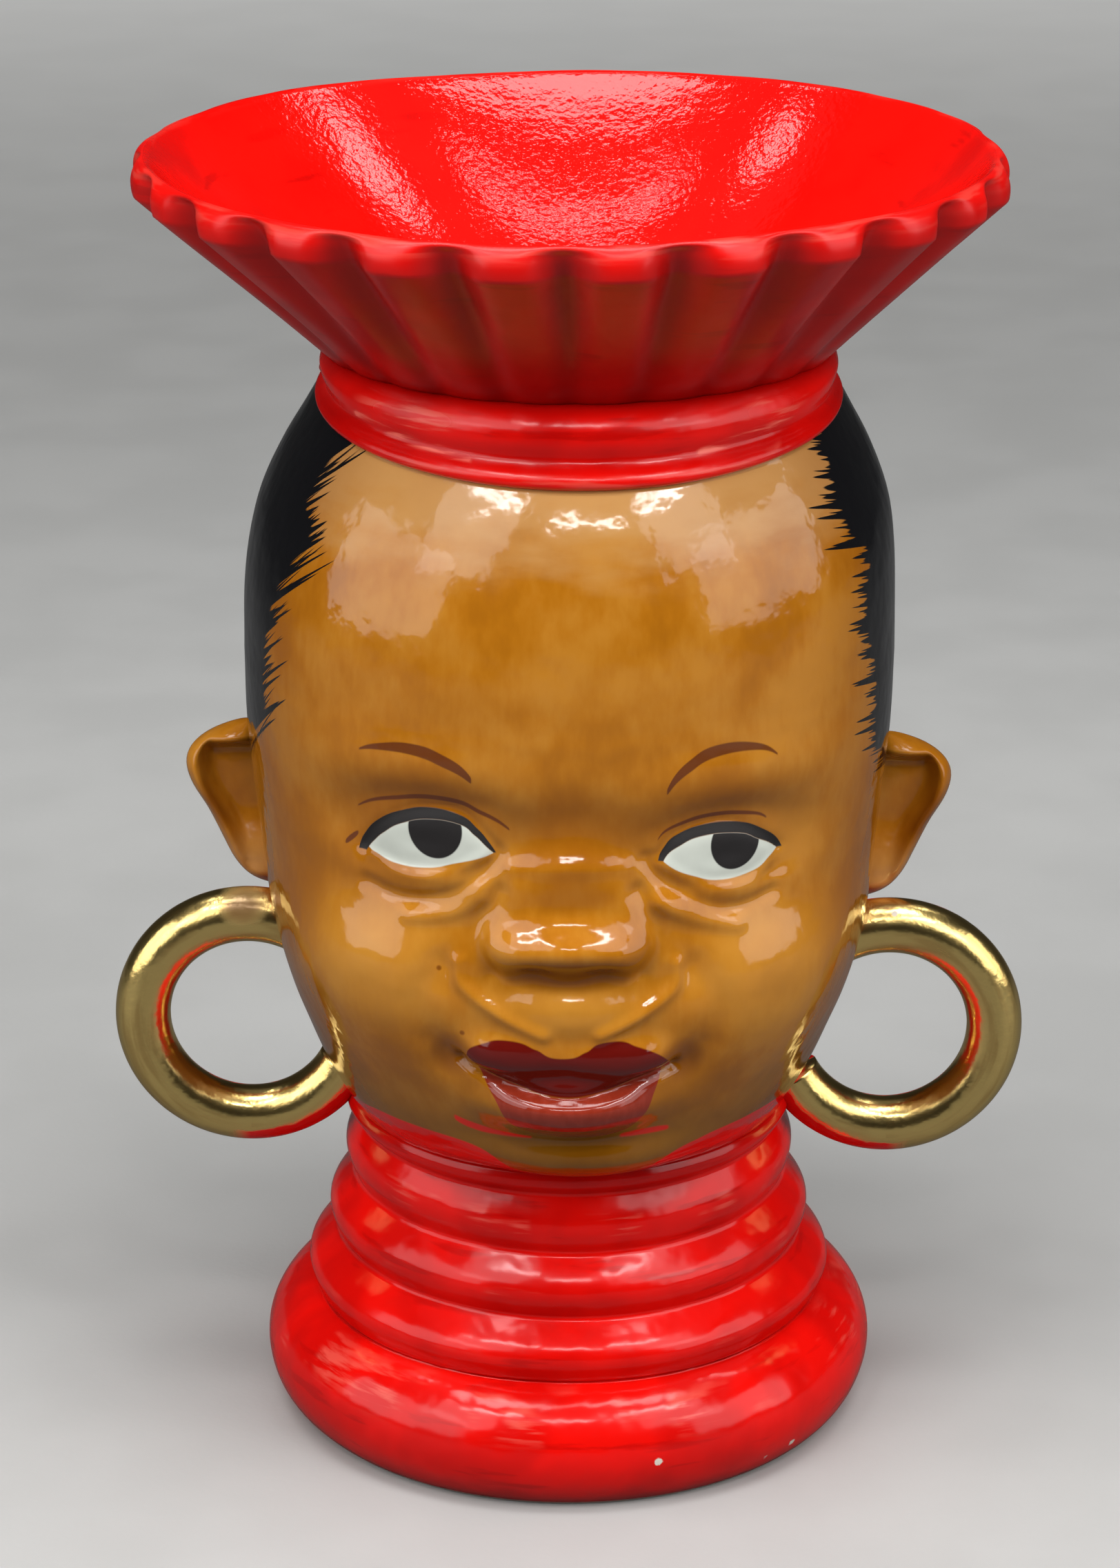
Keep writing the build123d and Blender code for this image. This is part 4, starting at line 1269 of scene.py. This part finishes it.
# Faint pale streaks on the lower lip: brush marks and painted sheen.
lip_streaks_and_sheen = paint.rising(paint.cloud(2.0, 3.0, paint.stretched(1.6, 0.5)), 0.4, 0.66) * 0.05
lower_lip_colour = paint.mixed(lip_streaks_and_sheen, LOWER_LIP_RED, PINK_WEAR_AND_HIGHLIGHT)
paint.lay(shape(paint, LIP_BOTTOM, LIP_LINE[1:], LIP_EDGE) * in_front, lower_lip_colour)
# The upper lip's dark maroon is partly painted shade, where the lip faces down.
paint.lay(shape(paint, LIP_LINE, LIP_TOP, LIP_EDGE) * in_front, UPPER_LIP_SHADED_RED)
for row in CHIN_STROKES:
    paint.lay(stroke(paint, row, 0.25) * in_front * 0.9, SCARLET)
paint.lay(paint.above(line(paint, paint.turn, JAW_EDGE) - paint.z, 0.25), SCARLET)

# %% [markdown]
# The hair is black glaze, laid on last. At its edge the painter flicked fine pointed strokes towards the
# face. The edge is a turn from straight ahead for each level. A one-dimensional Voronoi pattern, which has
# points at uneven steps, pushes the edge out in narrow spikes. On the viewer's left they slant down, so the
# pattern is read at a level that sinks with the turn.

# %% Hair
HAIR_BLACK = (0.006, 0.006, 0.007)
# The turn of the hair's edge at each level, on each side, in degrees from straight ahead.
LEFT_HAIRLINE = (
    (104.0, 93.0), (109.0, 82.0), (113.5, 74.0), (117.0, 68.0), (122.0, 62.5), (128.0, 62.5), (134.0, 60.5),
    (140.0, 58.5), (145.0, 55.0), (150.0, 51.5), (154.0, 57.0), (158.0, 56.0), (164.0, 52.0),
)
RIGHT_HAIRLINE = (
    (104.0, 92.0), (109.0, 76.0), (113.5, 68.0), (117.0, 63.5), (122.0, 63.0), (128.0, 62.0), (134.0, 59.0),
    (140.0, 58.5), (145.0, 61.0), (150.0, 56.0), (154.0, 55.5), (158.0, 57.0), (164.0, 62.0),
)
# The level of the hair's lower edge behind the ears, at each turn.
NAPE_LINE = (
    (60.0, 100.0), (84.0, 102.0), (92.0, 98.0), (100.0, 87.0), (110.0, 79.0), (125.0, 74.0), (150.0, 71.0),
    (180.0, 70.0),
)
LEFT_SLANT, RIGHT_SLANT = 0.55, 0.12
SPIKE_SPACING = 1.3
SPIKE_REACH = 9.5


def flicks(finish, slant, spacing, reach):
    """How far fine strokes reach past the hair's edge at each place, in degrees."""
    level = (finish.z + abs(finish.turn) * slant) / spacing
    settings = {"voronoi_dimensions": "1D", "feature": "F1"}
    apart = finish.add("ShaderNodeTexVoronoi", settings, {"W": level, "Scale": 1.0}, "Distance")
    uneven = finish.add("ShaderNodeTexNoise", {"noise_dimensions": "1D"}, {"W": level / 2.3, "Scale": 1.0})
    return finish.rising(apart, 0.5, 0.0) * finish.rising(uneven, 0.3, 0.7) * reach


def frayed(finish, hairline, slant):
    """The turn of the hair's edge at each place, with long strokes and finer ones between them."""
    long_flicks = flicks(finish, slant, SPIKE_SPACING, SPIKE_REACH)
    fine_flicks = flicks(finish, slant * 1.3, SPIKE_SPACING / 2.2, SPIKE_REACH * 0.6)
    return line(finish, finish.z, hairline) - long_flicks.over(fine_flicks)


edge = frayed(paint, LEFT_HAIRLINE, LEFT_SLANT)
edge = edge + (frayed(paint, RIGHT_HAIRLINE, RIGHT_SLANT) - edge) * paint.above(paint.x, 1.0)
wisps = paint.cloud(3.0, 3.0, paint.stretched(2.0, 0.4)) * 6.0
above_nape = paint.rising(paint.z + wisps - line(paint, aside, NAPE_LINE), 2.6, 3.4)
paint.lay(paint.above(aside - edge, 0.5) * above_nape, HAIR_BLACK)
line_with_cream(paint)
head_rough = 0.04 + paint.cloud(7.0) * 0.1 + inked * 0.6
paint.coat(head_piece, head_rough, paint.ripples(paint.cloud(9.0) + paint.cloud(3.0) * 0.2, 0.35))

# %% [markdown]
# The ears have the same caramel glaze, with painted shade in the cup, and they turn paler towards the lobe.

# %% Paint the ears
# The middle of each ear's cup, as its place across and its level.
EAR_CUPS = ((-53.4, 99.4), (54.2, 97.0))

for (across, level), piece in zip(EAR_CUPS, ear_pieces):
    paint = Finish("painted_" + piece.name, SKIN)
    brush_skin(paint)
    # Painted shade in the cup of the ear, on its front.
    paint.lay(patch(paint, across, level, 4.6, 7.0, 0.85) * paint.rising(paint.y, 3.0, 0.5), SKIN_SHADE)
    paint.lay(paint.rising(paint.z, level - 5.0, level - 12.0) * 0.55, SKIN_TAN)
    paint.lay(paint.rising(paint.y, 7.0, 9.0), HAIR_BLACK)
    paint.coat(piece, 0.10 + paint.cloud(4.0) * 0.14, paint.ripples(paint.cloud(4.0), 0.25))

# %% [markdown]
# ### Gold lustre
#
# Lustre is a film of real gold that is brushed over the fired glaze, so it is a metal with a red ground. The
# painter gilded what shows from the front. The back of each hoop and its underside near the neck stayed red.
# The film is thin: it is streaked, and small pale chips show on the outer edge. The kiln left a brown smear
# on top of one hoop, beside the head.

# %% Gild the hoops
GOLD = (0.96, 0.70, 0.25)
GOLD_WORN = (0.66, 0.42, 0.14)
HOOP_CHIPS = (
    ((-58.0, -6.6, 73.6), (-63.4, -5.6, 70.0)),
    ((50.4, -6.0, 81.8), (57.0, -6.4, 79.0), (61.6, -6.4, 76.0), (64.8, -5.8, 71.6), (66.0, -5.0, 66.0)),
)
# The smear's patch. Only the left hoop reaches it.
KILN_SMEAR = (-50.4, 83.0, 4.4, 3.2, 0.75)

for piece, (side, rise), places in zip(hoop_pieces, HOOPS, HOOP_CHIPS):
    gilding = Finish("gold_lustre_" + piece.name, GOLD)
    from_x = gilding.x - side * (head_half_width + HOOP_OUT)
    from_z = gilding.z - (neck_seam + rise)
    round_hoop = (from_x * from_x + from_z * from_z) ** 0.5
    along_hoop = gilding.math("ARCTAN2", from_x, from_z) * HOOP_RADIUS
    unrolled = gilding.add("ShaderNodeCombineXYZ", {}, {0: along_hoop * 0.12, 1: round_hoop, 2: gilding.y})
    wobble = gilding.cloud(5.0, 3.0) * 2.4 - 1.2
    behind = gilding.rising(gilding.y + wobble, -HOOP_AHEAD + 0.8, -HOOP_AHEAD + 1.2)
    beneath = gilding.rising(round_hoop + wobble, HOOP_RADIUS + 1.4, HOOP_RADIUS + 1.9)
    beneath = beneath * gilding.rising(from_z, -3.0, -5.0) * gilding.rising(from_x * side, 4.0, 0.0)
    ungilded = behind.over(beneath)
    chipped = chips(gilding, places, 0.7)
    smeared = patch(gilding, *KILN_SMEAR)
    streaks = gilding.cloud(1.4, 4.0, unrolled)
    gilding.lay(gilding.rising(streaks, 0.46, 0.66) * 0.6, GOLD_WORN)
    gilding.lay(ungilded, SCARLET)
    gilding.lay(chipped, BARE_CLAY)
    gilding.lay(smeared, BROWN_LINE)
    metal = (1 - ungilded) * (1 - chipped) * (1 - smeared)
    rough = 0.14 + streaks * 0.18 + chipped * 0.4
    gilding.coat(piece, rough, gilding.ripples(gilding.cloud(2.4, 3.0), 0.12), Metallic=metal)

# %% [markdown]
# ### The floor
#
# The floor is a sheet of pale card with a very faint mottling, so that it doesn't look like a flat fill. A
# pale floor under a glossy red vase would wash out every surface that looks down, so only the camera sees
# it pale. What the glaze mirrors is a dark table. The lamps stand close to the vase, so the card glows
# faintly further out, where they don't reach, and stays an even pale up to the top of the cove.

# %% Colour the floor
FLOOR_PALE = (0.44, 0.44, 0.43)
FLOOR_DIM = (0.42, 0.42, 0.41)
FLOOR_MIRRORED = (0.10, 0.10, 0.10)
COVE_GLOW = (0.50, 0.50, 0.49)
NO_GLOW = (0.0, 0.0, 0.0)
GLOW_REACH = (500.0, 1900.0)

card = Finish("pale_card", FLOOR_MIRRORED)
mottled = card.rising(card.cloud(40.0, 4.0), 0.35, 0.65)
seen = card.add("ShaderNodeLightPath", {}, {}, "Is Camera Ray")
card.lay(seen, card.mixed(mottled, FLOOR_DIM, FLOOR_PALE))
glow = card.mixed(card.rising(card.reach, *GLOW_REACH) * seen, NO_GLOW, COVE_GLOW)
grain = card.ripples(card.cloud(1.2), 0.03)
card.coat(floor, 0.62 + mottled * 0.08, grain, Emission_Color=glow, Emission_Strength=1.0)
